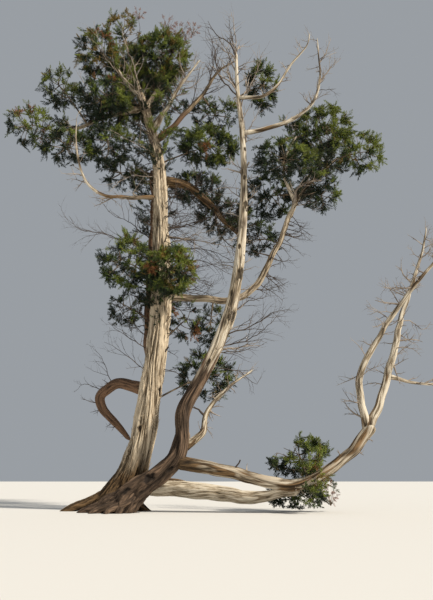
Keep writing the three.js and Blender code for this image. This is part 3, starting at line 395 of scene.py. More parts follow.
def unit(vectors):
    """The vectors at length one."""
    vectors = np.asarray(vectors, dtype=float)
    return vectors / np.maximum(np.linalg.norm(vectors, axis=-1, keepdims=True), 1e-9)


def heading(bearing, rise):
    """Unit vector at a bearing round +Z from +X and a rise above the level, in degrees."""
    turn, lift = math.radians(bearing), math.radians(rise)
    return np.array([
        math.cos(turn) * math.cos(lift), math.sin(turn) * math.cos(lift), math.sin(lift)])


# Slopes that the noise deals out to the corners of its cells, and the factors that mix a corner's
# three whole numbers and the seed into one.
SLOPES = np.array([
    (1, 1, 0), (-1, 1, 0), (1, -1, 0), (-1, -1, 0), (1, 0, 1), (-1, 0, 1), (1, 0, -1), (-1, 0, -1),
    (0, 1, 1), (0, -1, 1), (0, 1, -1), (0, -1, -1), (1, 1, 0), (-1, 1, 0), (0, -1, 1), (0, -1, -1)],
    dtype=float)
CELL_FACTORS = (0x9E3779B1, 0x85EBCA77, 0xC2B2AE3D)
SEED_FACTOR, MIX_FACTOR = 0x27D4EB2F, 0x2C1B3C6D


def smooth_noise(x, y, z, seed=0):
    """Smooth noise, from about -1 to 1, at arrays of places."""
    places = np.broadcast_arrays(*(np.atleast_1d(value) for value in (x, y, z)))
    floors = [np.floor(place) for place in places]
    parts = [place - floor for place, floor in zip(places, floors)]
    fades = [part ** 3 * (part * (part * 6 - 15) + 10) for part in parts]
    cells = [floor.astype(np.int64).astype(np.uint32) for floor in floors]
    total = np.zeros(places[0].shape)
    for corner in range(8):
        steps = (corner & 1, corner >> 1 & 1, corner >> 2 & 1)
        mixed = np.uint32(seed * SEED_FACTOR & 0xFFFFFFFF)
        for cell, step, factor in zip(cells, steps, CELL_FACTORS):
            mixed = mixed ^ (cell + np.uint32(step)) * np.uint32(factor)
        mixed = (mixed ^ mixed >> np.uint32(15)) * np.uint32(MIX_FACTOR)
        slope = SLOPES[(mixed ^ mixed >> np.uint32(13)) & np.uint32(15)]
        weight, value = np.ones(total.shape), np.zeros(total.shape)
        for axis in range(3):
            value += slope[..., axis] * (parts[axis] - steps[axis])
            weight *= fades[axis] if steps[axis] else 1 - fades[axis]
        total += weight * value
    return total


# Courses, and the limbs that follow them

def smooth_course(points):
    """Close-set points of the centripetal curve through a course."""
    points = np.asarray(points, dtype=float)
    padded = np.vstack([2 * points[0] - points[1], points, 2 * points[-1] - points[-2]])
    laid = []
    share = np.linspace(0, 1, COURSE_STEPS, endpoint=False)[:, None]
    for i in range(len(points) - 1):
        before, start, end, after = padded[i:i + 4]
        first, middle, last = (math.sqrt(np.linalg.norm(b - a)) for a, b in
                               ((before, start), (start, end), (end, after)))
        leave = ((start - before) / first - (end - before) / (first + middle)
                 + (end - start) / middle) * middle
        arrive = ((end - start) / middle - (after - start) / (middle + last)
                  + (after - end) / last) * middle
        cubic = 2 * start - 2 * end + leave + arrive
        square = -3 * start + 3 * end - 2 * leave - arrive
        laid.append(start + leave * share + square * share ** 2 + cubic * share ** 3)
    return np.vstack([*laid, points[-1:]])


def run_of(path):
    """The distance run from a path's start to each of its points."""
    return np.concatenate([[0], np.cumsum(np.linalg.norm(np.diff(path, axis=0), axis=1))])


def even_places(points, spacing):
    """Points laid evenly along a line of points, and the line's length."""
    run = run_of(points)
    wanted = np.linspace(0, run[-1], max(4, round(run[-1] / spacing)) + 1)
    return np.stack([np.interp(wanted, run, points[:, k]) for k in range(3)], axis=1), run[-1]


def carried_frames(path):
    """Tangents of a path, and two directions across it that turn no more than it bends."""
    along = unit(np.gradient(path, axis=0))
    across = np.empty_like(path)
    across[0] = unit(np.cross(along[0], (0.0, 1.0, 0.0)))
    for i in range(1, len(path)):
        across[i] = unit(across[i - 1] - along[i] * across[i - 1].dot(along[i]))
    return along, across, np.cross(along, across)


def limb_named(node):
    """The limb that has a node, with the shares of its length where the node starts and ends."""
    for limb in LIMBS:
        start = 0.0
        for name, end in limb["nodes"]:
            if name == node:
                return limb, start, end
            start = end
    raise ValueError(f"no limb has the node {node}")


def nearest_on(node, place):
    """The place on a node's line that is nearest to a place."""
    limb, start, end = limb_named(node)
    line = limb_course(limb)[0]
    line = line[int(start * (len(line) - 1)):int(end * (len(line) - 1)) + 1]
    return line[np.argmin(np.linalg.norm(line - place, axis=1))]


def limb_course(limb):
    """A limb's line at an even, close spacing, in metres, with its root on its carrier's line,
    and its length."""
    if "line" not in limb:
        path, length = even_places(smooth_course(limb["course"]) * MM, LINE_SPACING)
        if limb["carrier"]:
            nearest = nearest_on(limb["carrier"], path[0])
            reach = np.linspace(0, length, len(path))[:, None]
            path = path + (nearest - path[0]) * np.clip(1 - reach / ROOTING, 0, 1)
        limb["line"] = path, length
    return limb["line"]


def limb_radius(limb, share, heights):
    """Radius of a limb at shares of its length, in metres."""
    taper = limb["tip"] + (limb["butt"] - limb["tip"]) * (1 - share ** limb["fullness"])
    flare = limb.get("flare", 0) * np.exp(
        -np.maximum(0, heights) / (limb.get("flare_height", 1) * MM))
    return (taper + flare) * MM


def foot_at(limb, share):
    """The place on a limb's line and its radius at a share of its length."""
    path = limb_course(limb)[0]
    place = path[min(len(path) - 1, int(share * (len(path) - 1)))]
    return place, float(limb_radius(limb, share, place[2]))


def place_on(node, share):
    """The place, direction and radius on a limb at a share of one node's length."""
    limb, start, end = limb_named(node)
    path = limb_course(limb)[0]
    whole = start + share * (end - start)
    index = min(len(path) - 2, int(whole * (len(path) - 1)))
    place = path[index]
    return place, unit(path[index + 1] - place), float(limb_radius(limb, whole, place[2]))


# Meshes and pieces

def mesh_of(name, vertices, *faces, smooth=True):
    """A mesh from an array of vertices and arrays of faces with equally many corners each."""
    mesh = bpy.data.meshes.new(name)
    mesh.vertices.add(len(vertices))
    mesh.vertices.foreach_set("co", np.asarray(vertices, dtype=np.float32).ravel())
    corners = np.concatenate([np.asarray(group, dtype=np.int32).ravel() for group in faces])
    sizes = np.concatenate([np.full(len(group), len(group[0])) for group in faces])
    mesh.loops.add(len(corners))
    mesh.loops.foreach_set("vertex_index", corners)
    mesh.polygons.add(len(sizes))
    mesh.polygons.foreach_set("loop_start", np.concatenate([[0], np.cumsum(sizes)[:-1]]))
    mesh.polygons.foreach_set("use_smooth", np.full(len(sizes), smooth))
    mesh.update(calc_edges=True)
    mesh.validate()
    return mesh


def give(mesh, **looks):
    """Stores one or three numbers for each vertex of a mesh under each name."""
    for name, values in looks.items():
        values = np.asarray(values, dtype=np.float32)
        kind, field = ("FLOAT", "value") if values.ndim == 1 else ("FLOAT_VECTOR", "vector")
        mesh.attributes.new(name, kind, "POINT").data.foreach_set(field, values.ravel())


def points_mesh(name, places, edges=(), **looks):
    """A mesh of loose points, or of the lines that edges join them to, with looks for each."""
    mesh = bpy.data.meshes.new(name)
    mesh.vertices.add(len(places))
    mesh.vertices.foreach_set("co", places.astype(np.float32).ravel())
    mesh.edges.add(len(edges))
    mesh.edges.foreach_set("vertices", np.asarray(edges, dtype=np.int32).ravel())
    give(mesh, **looks)
    return mesh


def link_piece(name, mesh, material=None):
    """An object of a mesh in the scene."""
    piece = bpy.data.objects.new(name, mesh)
    bpy.context.scene.collection.objects.link(piece)
    if material:
        mesh.materials.clear()
        mesh.materials.append(material)
    return piece


def finish_piece(name, mesh, material, nodes):
    """Makes a mesh a piece that rides with the tree in place of the frame's nodes."""
    piece = link_piece(name, mesh, material)
    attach(piece, "root")
    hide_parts(*nodes)


# Trunks and limbs

# Relief of each finish: how far its grain twists in radians a metre and how far it wanders, then
# its layers, each with the width and length of a strand, its depth and how sharp its grooves are.
RELIEFS = {
    "stringy": (0.28, 0.45, (
        (0.080, 1.00, 0.020, 0.75), (0.030, 0.50, 0.020, 0.5), (0.0145, 0.30, 0.012, 0.5))),
    "barked": (0.7, 0.4, (
        (0.050, 0.50, 0.009, 0.8), (0.022, 0.28, 0.007, 0.55), (0.011, 0.16, 0.003, 0.7))),
    "brown": (0.5, 0.4, (
        (0.055, 0.60, 0.010, 0.8), (0.024, 0.32, 0.008, 0.55), (0.012, 0.18, 0.003, 0.7))),
    "bare": (0.6, 0.5, (
        (0.090, 0.70, 0.016, 1.0), (0.034, 0.34, 0.008, 0.6), (0.013, 0.20, 0.005, 0.45))),
    "bleached": (0.9, 0.5, (
        (0.065, 0.50, 0.012, 1.0), (0.028, 0.28, 0.007, 0.55), (0.011, 0.17, 0.004, 0.45))),
}
# The dark in the bark's grooves is partly its own colour and partly painted shade.
LAYER_SHADES = (0.38, 0.34, 0.28)  # how much of the bark's light and dark each layer brings
STRAND_LEVEL = 0.82  # share of a strand's depth that lies under the limb's radius
STRAND_GAIN = 2.3  # how soon a strand rises from its groove to its full height
FULL_RELIEF = 0.11  # radius in metres at which a limb's relief is as deep as its finish says
SWAY_LENGTH = 0.8  # metres over which the grain wanders once
LUMP_LENGTH, LUMP_HEIGHT = 0.32, 0.07  # metres along a limb, and share of its radius
KNOT_STRETCH = 1.6  # knots are longer along the limb than across
KNOT_RIM, KNOT_HOLLOW = 0.24, 0.36  # height and depth, as shares of a knot's size
KNOT_SHADE = 0.35  # how dark the painted shade in a knot's hollow is
PAINTED_SHADE_HEIGHT = 0.9  # metres over the ground to which a trunk's bark is painted darker, as shade
LEAST_RISE = 0.25  # keeps the slide to the ground short where a limb lies nearly level
COLLAR, COLLAR_REACH = 0.3, 0.09  # share that a limb swells at its root, and its reach in metres
SUNK = 0.35  # share of its radius that a limb keeps at its root's end, inside its carrier
SPLINTER = 0.05  # metres over which a limb's broken end draws in
KNUCKLE_REACH, ROUNDING = 0.13, 0.06  # metres over which a forked end swells, and then rounds off


def cut_level(surface, along):
    """Slides what lies under the ground along the limb until it meets the ground."""
    rise = along[:, None, 2:3]
    slide = np.maximum(0, -surface[..., 2:3]) / np.maximum(np.abs(rise), LEAST_RISE)
    surface = surface + along[:, None, :] * np.sign(rise) * slide
    surface[..., 2] = np.maximum(surface[..., 2], 0)
    return surface


def turn_between(angles, angle):
    """The angles measured from another one, from minus to plus half a turn."""
    return (angles - angle + math.pi) % (2 * math.pi) - math.pi


def wood_tube(path, radii, finish, sides, seed, depth=1.0, buttresses=(), knots=(), shaggy=0.0):
    """Vertices, sides, caps, grain and shade, partly painted, of a limb with its bark's strands or its
    cracks.

    A buttress is (bearing, reach, height over which it fades, width), and a knot is (share of the
    length, turn round the limb, size). What is shaggy is rougher under that height.
    """
    along, across, beside = carried_frames(path)
    run = run_of(path)[:, None]
    angle = np.linspace(0, 2 * math.pi, sides, endpoint=False)[None, :]
    cosine, sine = np.cos(angle), np.sin(angle)
    radius, heights = radii[:, None], path[:, 2:3]
    twist, wander, layers = RELIEFS[finish]
    sway = wander * smooth_noise(cosine * 0.9, sine * 0.9, run / SWAY_LENGTH + seed * 7.3, seed)
    grain = angle + twist * run + sway
    strands = np.stack([np.cos(grain) * radius, np.sin(grain) * radius,
                        np.broadcast_to(run, grain.shape)], axis=-1)
    outward = cosine[..., None] * across[:, None, :] + sine[..., None] * beside[:, None, :]
    height, shade = np.zeros((2, len(path), sides))
    thickness = np.clip(radius / FULL_RELIEF, 0.25, 1.15)
    rough = 1 + 1.6 * np.clip(1 - heights / shaggy, 0, 1) if shaggy else 1.0
    for number, (width, length, layer_depth, edge) in enumerate(layers):
        value = smooth_noise(strands[..., 0] / width, strands[..., 1] / width,
                             run / length + seed * 3.1, seed + 11 * number)
        strand = np.minimum(1, np.abs(value) * STRAND_GAIN) ** edge
        height = height + (strand - STRAND_LEVEL) * layer_depth * thickness * depth * rough
        shade = shade + strand * LAYER_SHADES[number]
    lumps = smooth_noise(cosine * 1.3, sine * 1.3, run / LUMP_LENGTH, seed + 5)
    height = height + lumps * radius * LUMP_HEIGHT
    for bearing, reach, fade, width in buttresses:
        turned = turn_between(np.arctan2(outward[..., 1], outward[..., 0]), math.radians(bearing))
        height = height + reach * np.exp(-(turned / width) ** 2) * np.exp(
            -np.maximum(0, heights) / fade)
    for share, turn, size in knots:
        distance = np.hypot(turn_between(angle, turn) * radius,
                            (run - share * run[-1]) / KNOT_STRETCH) / size
        distance = distance + 0.6 * smooth_noise(
            cosine * radius / 0.022, sine * radius / 0.022, run / 0.05, seed + 9)
        rim = np.exp(-((distance - 1.0) / 0.35) ** 2)
        hole = np.exp(-(distance / 0.78) ** 4)
        height = height + (rim * KNOT_RIM - hole * KNOT_HOLLOW) * size
        # Painted shade in the knot's hollow.
        shade = shade * (1 - hole) - KNOT_SHADE * hole
    # Painted shade: a trunk's bark darkens towards the ground.
    if shaggy or buttresses:
        shade = shade * (0.72 + 0.28 * np.clip(heights / PAINTED_SHADE_HEIGHT, 0, 1))
    surface = cut_level(path[:, None, :] + outward * (radius + height)[..., None], along)
    rows = len(path)
    vertices = np.vstack([surface.reshape(-1, 3), path[:1], path[-1:]])
    vertices[:, 2] = np.maximum(vertices[:, 2], 0)
    ring = np.arange(sides)
    after = (ring + 1) % sides
    start = np.arange(rows - 1)[:, None] * sides
    quads = np.stack([start + ring, start + after, start + sides + after, start + sides + ring],
                     axis=-1).reshape(-1, 4)
    first, top = rows * sides, (rows - 1) * sides
    caps = np.vstack([
        np.stack([np.full(sides, first), after, ring], axis=1),
        np.stack([np.full(sides, first + 1), top + ring, top + after], axis=1)])
    strands = np.vstack([strands.reshape(-1, 3), [[0, 0, 0]], [[0, 0, run[-1, 0]]]])
    return vertices, quads, caps, strands, np.concatenate([shade.ravel(), [0.3, 0.3]])


def limb_tube(limb, spacing, sides, seed, **extras):
    """The tube of one limb at a given fineness, with a collar where it leaves its carrier."""
    line, length = limb_course(limb)
    path, _ = even_places(line, spacing)
    share = np.linspace(0, 1, len(path))
    radii = limb_radius(limb, share, path[:, 2])
    if limb["finish"] not in ("stringy", "bare"):
        for axis in range(3):
            path[:, axis] += np.minimum(radii, 0.035) * 0.6 * smooth_noise(
                share * length / 0.24, seed * 1.7, axis * 5.3, seed)
    if path[0, 2] < 0:
        below = np.arange(round(BURIED / spacing), 0, -1)[:, None]
        path = np.vstack([path[0] + (path[0] - path[1]) * below, path])
        radii = np.concatenate([np.full(len(below), radii[0]), radii])
    if limb["carrier"]:
        carrier, start, end = limb_named(limb["carrier"])
        hidden = float(limb_radius(carrier, (start + end) / 2, path[0, 2]))
        past = share * length - hidden
        collar, sunk = limb.get("collar", COLLAR), limb.get("sunk", SUNK)
        radii = radii * np.where(
            past > 0, 1 + collar * np.exp(-past / COLLAR_REACH),
            1 + collar + (1 + collar - sunk) * np.maximum(past, -hidden) / hidden)
    if "knuckle" in limb:
        left = (1 - share) * length
        radii = radii * (1 + limb["knuckle"] * np.exp(-(left / KNUCKLE_REACH) ** 2))
        radii = radii * np.sqrt(1 - 0.96 * np.clip(1 - left / ROUNDING, 0, 1) ** 2)
    else:
        run = run_of(path)
        radii = radii * np.clip(0.25 + 0.75 * ((run[-1] - run) / SPLINTER), 0, 1)
    return wood_tube(path, radii, limb["finish"], sides, seed, **extras)


def root_tube(line, root, seed):
    """The tube of a root that leaves a trunk low down and sinks into the ground."""
    bearing, reach, height, radius = root
    start = line[np.argmax(line[:, 2] > height * MM)] / MM
    foot = line[0] * (1, 1, 0) / MM
    out = heading(bearing, 0)
    course = np.array([
        start,
        (start + foot) / 2 * (1, 1, 0) + out * reach * 0.42 + UP * height * 0.42,
        foot + out * reach * 0.78 + UP * height * 0.1,
        foot + out * reach - UP * 40,
    ])
    path, _ = even_places(smooth_course(course) * MM, 0.012)
    radii = radius * MM * (1 - 0.7 * np.linspace(0, 1, len(path)))
    return wood_tube(path, radii, "stringy", 44, seed, 0.8)


def join_tubes(name, tubes, wear):
    """One mesh of several tubes, with the attributes that its material reads."""
    points, quads, caps, grains, shades = zip(*tubes)
    offsets = np.cumsum([0, *map(len, points)])
    faces = (np.vstack([group + offset for group, offset in zip(groups, offsets)])
             for groups in (quads, caps))
    points, grains = np.vstack(points), np.vstack(grains)
    mesh = mesh_of(name, points, *faces)
    give(mesh, grain=grains, relief=np.concatenate(shades), wear=wear(points, grains))
    return mesh


# Node trees

def new_tree(name, **inputs):
    """A geometry node tree with named inputs after its geometry, and those inputs."""
    tree = bpy.data.node_groups.new(name, "GeometryNodeTree")
    for label, kind in {"Geometry": "Geometry", **inputs, "Finish": "Material"}.items():
        tree.interface.new_socket(label.replace("_", " "), in_out="INPUT",
                                  socket_type=f"NodeSocket{kind}")
    tree.interface.new_socket("Geometry", in_out="OUTPUT", socket_type="NodeSocketGeometry")
    return tree, tree.nodes.new("NodeGroupInput").outputs


def fill(tree, socket, value):
    """Links a socket to another one, or sets its value."""
    if isinstance(value, bpy.types.NodeSocket):
        tree.links.new(value, socket)
    else:
        socket.default_value = value


def add(tree, kind, *values, out=0, **named):
    """An output of a new node. Values go to its sockets in order, names with a capital to the
    sockets of that name, and other names to the node's own settings."""
    node = tree.nodes.new(kind)
    for label, value in named.items():
        if label[0].islower():
            setattr(node, label, value)
    for socket, value in zip(node.inputs, values):
        fill(tree, socket, value)
    for label, value in named.items():
        if not label[0].islower():
            wanted = label.replace("_", " ").lower()
            fill(tree, next(s for s in node.inputs if s.enabled and s.name.lower() == wanted), value)
    return node.outputs[out]


def worked(tree, operation, *values):
    """The result of one step of arithmetic."""
    return add(tree, "ShaderNodeMath", *values, operation=operation)


def attribute(tree, name, kind="FLOAT"):
    """A value that the points of a geometry carry."""
    return add(tree, "GeometryNodeInputNamedAttribute", data_type=kind, Name=name)


def joined(tree, *sources):
    """Several geometries joined."""
    node = tree.nodes.new("GeometryNodeJoinGeometry")
    for source in sources:
        tree.links.new(source, node.inputs[0])
    return node.outputs[0]


def close_tree(tree, given, source):
    """Ends a tree in real geometry with its material."""
    real = add(tree, "GeometryNodeRealizeInstances", Geometry=source)
    finished = add(tree, "GeometryNodeSetMaterial", Geometry=real, Material=given["Finish"])
    tree.links.new(finished, tree.nodes.new("NodeGroupOutput").inputs[0])
    return tree


def grow_with(tree, name, mesh, **values):
    """Runs a tree on a mesh and returns the plain mesh that it makes."""
    seed = link_piece(name + "_seed", mesh)
    modifier = seed.modifiers.new(name, "NODES")
    modifier.node_group = tree
    for item in tree.interface.items_tree:
        label = item.name.replace(" ", "_")
        if item.in_out == "INPUT" and label in values:
            modifier[item.identifier] = values[label]
    graph = bpy.context.evaluated_depsgraph_get()
    grown = bpy.data.meshes.new_from_object(seed.evaluated_get(graph))
    grown.name = name
    bpy.data.objects.remove(seed)
    return grown


# Twigs, sprays and shreds of bark

def twig_tree():
    """Turns lines with a girth at each point into closed twigs."""
    tree, given = new_tree("twigs", Sides="Int")
    section = add(
        tree, "GeometryNodeCurvePrimitiveCircle", Resolution=given["Sides"], Radius=1.0)
    lines = add(tree, "GeometryNodeMeshToCurve", Mesh=given["Geometry"])
    return close_tree(tree, given, add(
        tree, "GeometryNodeCurveToMesh", Curve=lines, Profile_Curve=section,
        Scale=attribute(tree, "girth"), Fill_Caps=True))


def with_spike(tree, given, twiglets, length):
    """Twiglets joined to a pointed twig of a given length that bears them."""
    spike = add(tree, "GeometryNodeObjectInfo", out="Geometry", Object=given["Twiglet"])
    reach = add(tree, "ShaderNodeCombineXYZ", 1.0, 1.0, length)
    spike = add(tree, "GeometryNodeTransform", Geometry=spike, Scale=reach)
    return joined(tree, twiglets, spike)


def add_shoot(tree, given):
    """The nodes of one shoot: whorls of needles, and one needle that ends it."""
    count, length = given["Whorls"], given["Shoot length"]
    start = add(tree, "ShaderNodeCombineXYZ", Z=worked(tree, "MULTIPLY", length, 0.15))
    gap = worked(tree, "DIVIDE", worked(tree, "MULTIPLY", length, 0.8), count)
    line = add(tree, "GeometryNodeMeshLine", Count=count, Start_Location=start,
               Offset=add(tree, "ShaderNodeCombineXYZ", Z=gap))
    index = add(tree, "GeometryNodeInputIndex")
    turn = add(tree, "FunctionNodeAxisAngleToRotation", Axis=(0, 0, 1),
               Angle=worked(tree, "MULTIPLY", index, GOLDEN_ANGLE))
    spread = add(
        tree, "FunctionNodeRandomValue", out=1, data_type="FLOAT", Min=0.8, Max=1.2, Seed=4)
    whorl = add(tree, "GeometryNodeObjectInfo", out="Geometry", Object=given["Whorl"],
                As_Instance=True)
    needles = add(tree, "GeometryNodeInstanceOnPoints", Points=line, Instance=whorl, Rotation=turn,
                  Scale=worked(tree, "MULTIPLY", spread, given["Needle length"]))
    return add(tree, "GeometryNodeGeometryToInstance",
               Geometry=with_spike(tree, given, needles, length))


def add_spray(tree, given, shoot, number, size, fork, bend):
    """The nodes of one spray: shoots that fork all round from a twiglet that bends a little."""
    count = given["Shoots"]
    length = worked(tree, "MULTIPLY", given["Spray length"], size)
    step = add(tree, "ShaderNodeCombineXYZ", Z=worked(tree, "DIVIDE", length, count))
    line = add(tree, "GeometryNodeMeshLine", Count=count, Offset=step)
    index = add(tree, "GeometryNodeInputIndex")
    share = worked(tree, "DIVIDE", index, worked(tree, "SUBTRACT", count, 1.0))
    roll = worked(tree, "MULTIPLY", index, GOLDEN_ANGLE + 0.4 * number)
    lean = add(tree, "ShaderNodeMapRange", Value=share, To_Min=fork, To_Max=0.0)
    turn = add(tree, "ShaderNodeCombineXYZ", X=lean, Z=roll)
    close = add(tree, "ShaderNodeMapRange", Value=share, To_Min=1.15, To_Max=0.8)
    shoots = add(tree, "GeometryNodeInstanceOnPoints", Points=line, Instance=shoot, Rotation=turn,
                 Scale=close)
    real = add(tree, "GeometryNodeRealizeInstances",
               Geometry=with_spike(tree, given, shoots, length))
    place = add(tree, "GeometryNodeInputPosition")
    far = add(tree, "ShaderNodeSeparateXYZ", out=2, Vector=place)
    sag = worked(tree, "MULTIPLY", worked(tree, "MULTIPLY", far, far), bend)
    bent = add(tree, "GeometryNodeSetPosition", Geometry=real,
               Offset=add(tree, "ShaderNodeCombineXYZ", X=sag))
    return add(tree, "GeometryNodeGeometryToInstance", Geometry=bent)


# Size, fork and bend of the three kinds of spray.
SPRAY_KINDS = ((1.0, 1.1, 1.8), (0.85, 0.95, -2.4), (1.15, 1.25, 0.9))


def needle_tree():
    """Sets sprays of needles on points that each have an aim and a size."""
    tree, given = new_tree(
        "needle sprays", Whorl="Object", Twiglet="Object", Whorls="Int", Shoots="Int",
        Needle_length="Float", Shoot_length="Float", Spray_length="Float", Seed="Int")
    shoot = add_shoot(tree, given)
    kinds = joined(tree, *(add_spray(tree, given, shoot, number, *kind)
                           for number, kind in enumerate(SPRAY_KINDS)))
    aimed = add(tree, "FunctionNodeAlignRotationToVector", axis="Z",
                Vector=attribute(tree, "aim", "FLOAT_VECTOR"))
    roll = add(tree, "FunctionNodeRandomValue", out=1, data_type="FLOAT", Min=0.0,
               Max=2 * math.pi, Seed=given["Seed"])
    rolled = add(tree, "FunctionNodeAxisAngleToRotation", Axis=(0, 0, 1), Angle=roll)
    turn = add(tree, "FunctionNodeRotateRotation", rotation_space="LOCAL", Rotation=aimed,
               Rotate_By=rolled)
    kind = add(tree, "FunctionNodeRandomValue", out=2, data_type="INT", Min=0, Max=2,
               Seed=given["Seed"])
    return close_tree(tree, given, add(
        tree, "GeometryNodeInstanceOnPoints", Points=given["Geometry"], Instance=kinds,
        Pick_Instance=True, Instance_Index=kind, Rotation=turn, Scale=attribute(tree, "size")))


def shred_tree():
    """Lays loose strips of bark on points that each have an outward and a lying direction."""
    tree, given = new_tree("bark shreds", Strip="Object")
    facing = add(tree, "FunctionNodeAlignRotationToVector", axis="Z",
                 Vector=attribute(tree, "out", "FLOAT_VECTOR"))
    lying = add(tree, "FunctionNodeAlignRotationToVector", axis="Y", pivot_axis="Z",
                Rotation=facing, Vector=attribute(tree, "lie", "FLOAT_VECTOR"))
    strip = add(tree, "GeometryNodeObjectInfo", out="Geometry", Object=given["Strip"],
                As_Instance=True)
    return close_tree(tree, given, add(
        tree, "GeometryNodeInstanceOnPoints", Points=given["Geometry"], Instance=strip,
        Rotation=lying, Scale=attribute(tree, "size")))


# Materials

def shaded(colour, share):
    """A colour made darker or lighter."""
    return tuple(c * share for c in colour)


def new_material(name, roughness):
    """A material with one shader, its node tree and the shader's sockets."""
    material = bpy.data.materials.new(name)
    material.use_nodes = True
    tree = material.node_tree
    shader = tree.nodes["Principled BSDF"].inputs
    shader["Roughness"].default_value = roughness
    shader["Specular IOR Level"].default_value = 0.25
    return material, tree, shader


def ramp(tree, value, *stops):
    """A colour ramp over a value, with (place, colour) stops."""
    node = tree.nodes.new("ShaderNodeValToRGB")
    elements = node.color_ramp.elements
    while len(elements) < len(stops):
        elements.new(0.5)
    for element, (place, colour) in zip(elements, stops):
        element.position = place
        element.color = (*colour, 1)
    tree.links.new(value, node.inputs[0])
    return node.outputs[0]


def weighed(tree, *terms):
    """Sum of values, each times its weight."""
    total = 0
    for value, weight in terms:
        total = worked(tree, "MULTIPLY_ADD", value, weight, total)
    return total


def noise(tree, vector, scale, detail):
    """Noise over a vector, squeezed by a scale for each axis."""
    squeezed = add(tree, "ShaderNodeMapping", Vector=vector, Scale=scale)
    return add(tree, "ShaderNodeTexNoise", Vector=squeezed, Scale=1.0, Detail=detail)


def bump(tree, shader, height, strength, distance):
    """Makes the shader's surface rise with a height."""
    rise = add(tree, "ShaderNodeBump", Height=height, Strength=strength, Distance=distance)
    tree.links.new(rise, shader["Normal"])


def wood_material(name, dark, middle, light, worn, strand, roughness=0.92, rise=0.55):
    """Wood or bark whose colour follows its grooves, partly as painted shade, its fibres and its wear."""
    material, tree, shader = new_material(name, roughness)
    place = add(tree, "ShaderNodeTexCoord", out="Object")
    grain, relief, wear = (
        add(tree, "ShaderNodeAttribute", out=out, attribute_name=label)
        for label, out in (("grain", "Vector"), ("relief", "Fac"), ("wear", "Fac")))
    fibre = noise(tree, grain, (1 / strand, 1 / strand, 1 / (strand * 22)), 5)
    streak = noise(tree, grain, (0.25 / strand, 0.25 / strand, 1 / (strand * 60)), 3)
    blotch = noise(tree, place, (2.6, 2.6, 1.5), 3)
    tone = weighed(tree, (relief, 0.85), (fibre, 0.8), (streak, 0.4), (blotch, 0.3))
    level = add(tree, "ShaderNodeMapRange", Value=tone, From_Min=0.94, From_Max=1.49)
    fresh = ramp(tree, level, (0.0, dark), (0.36, middle), (0.78, light), (1.0, light))
    aged = ramp(tree, level, *((stop, shaded(worn, share)) for stop, share in (
        (0.0, 0.16), (0.34, 0.46), (0.66, 0.88), (1.0, 1.9))))
    shift = weighed(tree, (wear, 1.6), (blotch, 0.7), (streak, 0.8))
    edge = add(tree, "ShaderNodeMapRange", Value=shift, From_Min=1.15, From_Max=1.75)
    colour = add(tree, "ShaderNodeMix", out=2, data_type="RGBA", Factor=edge, A=fresh, B=aged)
    tree.links.new(colour, shader["Base Color"])
    bump(tree, shader, fibre, rise, 0.006)
    return material


def twig_material(name, dark, light):
    """Thin dead wood, mottled along the tree."""
    material, tree, shader = new_material(name, 0.85)
    place = add(tree, "ShaderNodeTexCoord", out="Object")
    mottle = noise(tree, place, (9, 9, 9), 4)
    tree.links.new(ramp(tree, mottle, (0.32, dark), (0.62, light)), shader["Base Color"])
    bump(tree, shader, noise(tree, place, (160, 160, 60), 2), 0.3, 0.002)
    return material


def needle_material(name, tone):
    """Needles of one tone, a little darker and lighter from tuft to tuft."""
    material, tree, shader = new_material(name, 0.5)
    place = add(tree, "ShaderNodeTexCoord", out="Object")
    tuft, blade = noise(tree, place, (5.5, 5.5, 5.5), 2), noise(tree, place, (70, 70, 70), 1)
    value = weighed(tree, (tuft, 0.7), (blade, 0.3))
    lighter = tuple(min(1, c) for c in shaded(tone, 1.35))
    colour = ramp(tree, value, (0.32, shaded(tone, 0.55)), (0.5, tone), (0.68, lighter))
    tree.links.new(colour, shader["Base Color"])
    return material


# Rules of growth

def even_directions(count, roll):
    """Directions spread evenly over a sphere."""
    i = np.arange(count)
    z = 1 - (2 * i + 1) / count
    across = np.sqrt(1 - z * z)
    turn = i * GOLDEN_ANGLE + roll
    return np.stack([np.cos(turn) * across, np.sin(turn) * across, z], axis=1)


def sweep_line(start, end, bend, steps):
    """A line of points from start to end that first follows the bend given."""
    share = np.linspace(0, 1, steps + 1)[:, None]
    return (1 - share) ** 2 * start + 2 * share * (1 - share) * (start + bend) + share ** 2 * end


# Girth in metres where each kind of line starts and where it ends.
STEM, BOUGHLET, TWIG = (0.017, 0.005), (0.0075, 0.0032), (0.0034, 0.0013)
SHOOT, SIDE_TWIG = (0.005, 0.0014), (0.0028, 0.0012)


def lay_line(lines, girth, start, end, bend, steps):
    """Adds a line that sweeps from start to end and narrows, and gives its points."""
    line = sweep_line(start, end, bend, steps)
    lines.append((line, np.linspace(*girth, steps + 1)))
    return line


def sideways(ahead, draw):
    """A random direction straight across another one."""
    return unit(np.cross(ahead, draw.normal(0, 1, 3)))


FORK_SPACING, KINK_SPACING = 0.085, 0.075  # metres along a dead twig
LEAST_TWIG, LONGEST_TWIG = 0.03, 0.42  # metres of a dead twig that forks from another one
LEAST_GIRTH = 0.0013


def fork_twig(points, girths, draw, forks, lines):
    """Adds a dead twig's line, and the finer twigs that fork from it."""
    lines.append((points, girths))
    if not forks:
        return
    steps = len(points) - 1
    length = np.linalg.norm(np.diff(points, axis=0), axis=1).sum()
    count = max(2, round(length / FORK_SPACING))
    for number in range(count):
        share = 0.18 + 0.78 * (number + draw.random()) / count
        index = min(steps - 1, int(share * steps))
        foot = points[index] + (points[index + 1] - points[index]) * (share * steps - index)
        ahead = unit(points[index + 1] - points[index])
        side = sideways(ahead, draw)
        lean = draw.uniform(0.4, 1.05)
        towards = ahead * math.cos(lean) + side * math.sin(lean) + UP * 0.12
        child = min(LONGEST_TWIG, length * draw.uniform(0.25, 0.6) * (1.15 - 0.6 * share))
        if child > LEAST_TWIG:
            girth = max(LEAST_GIRTH, girths[index] * 0.62)
            grow_dead_twig(foot, towards, child, girth, draw, forks - 1, lines)


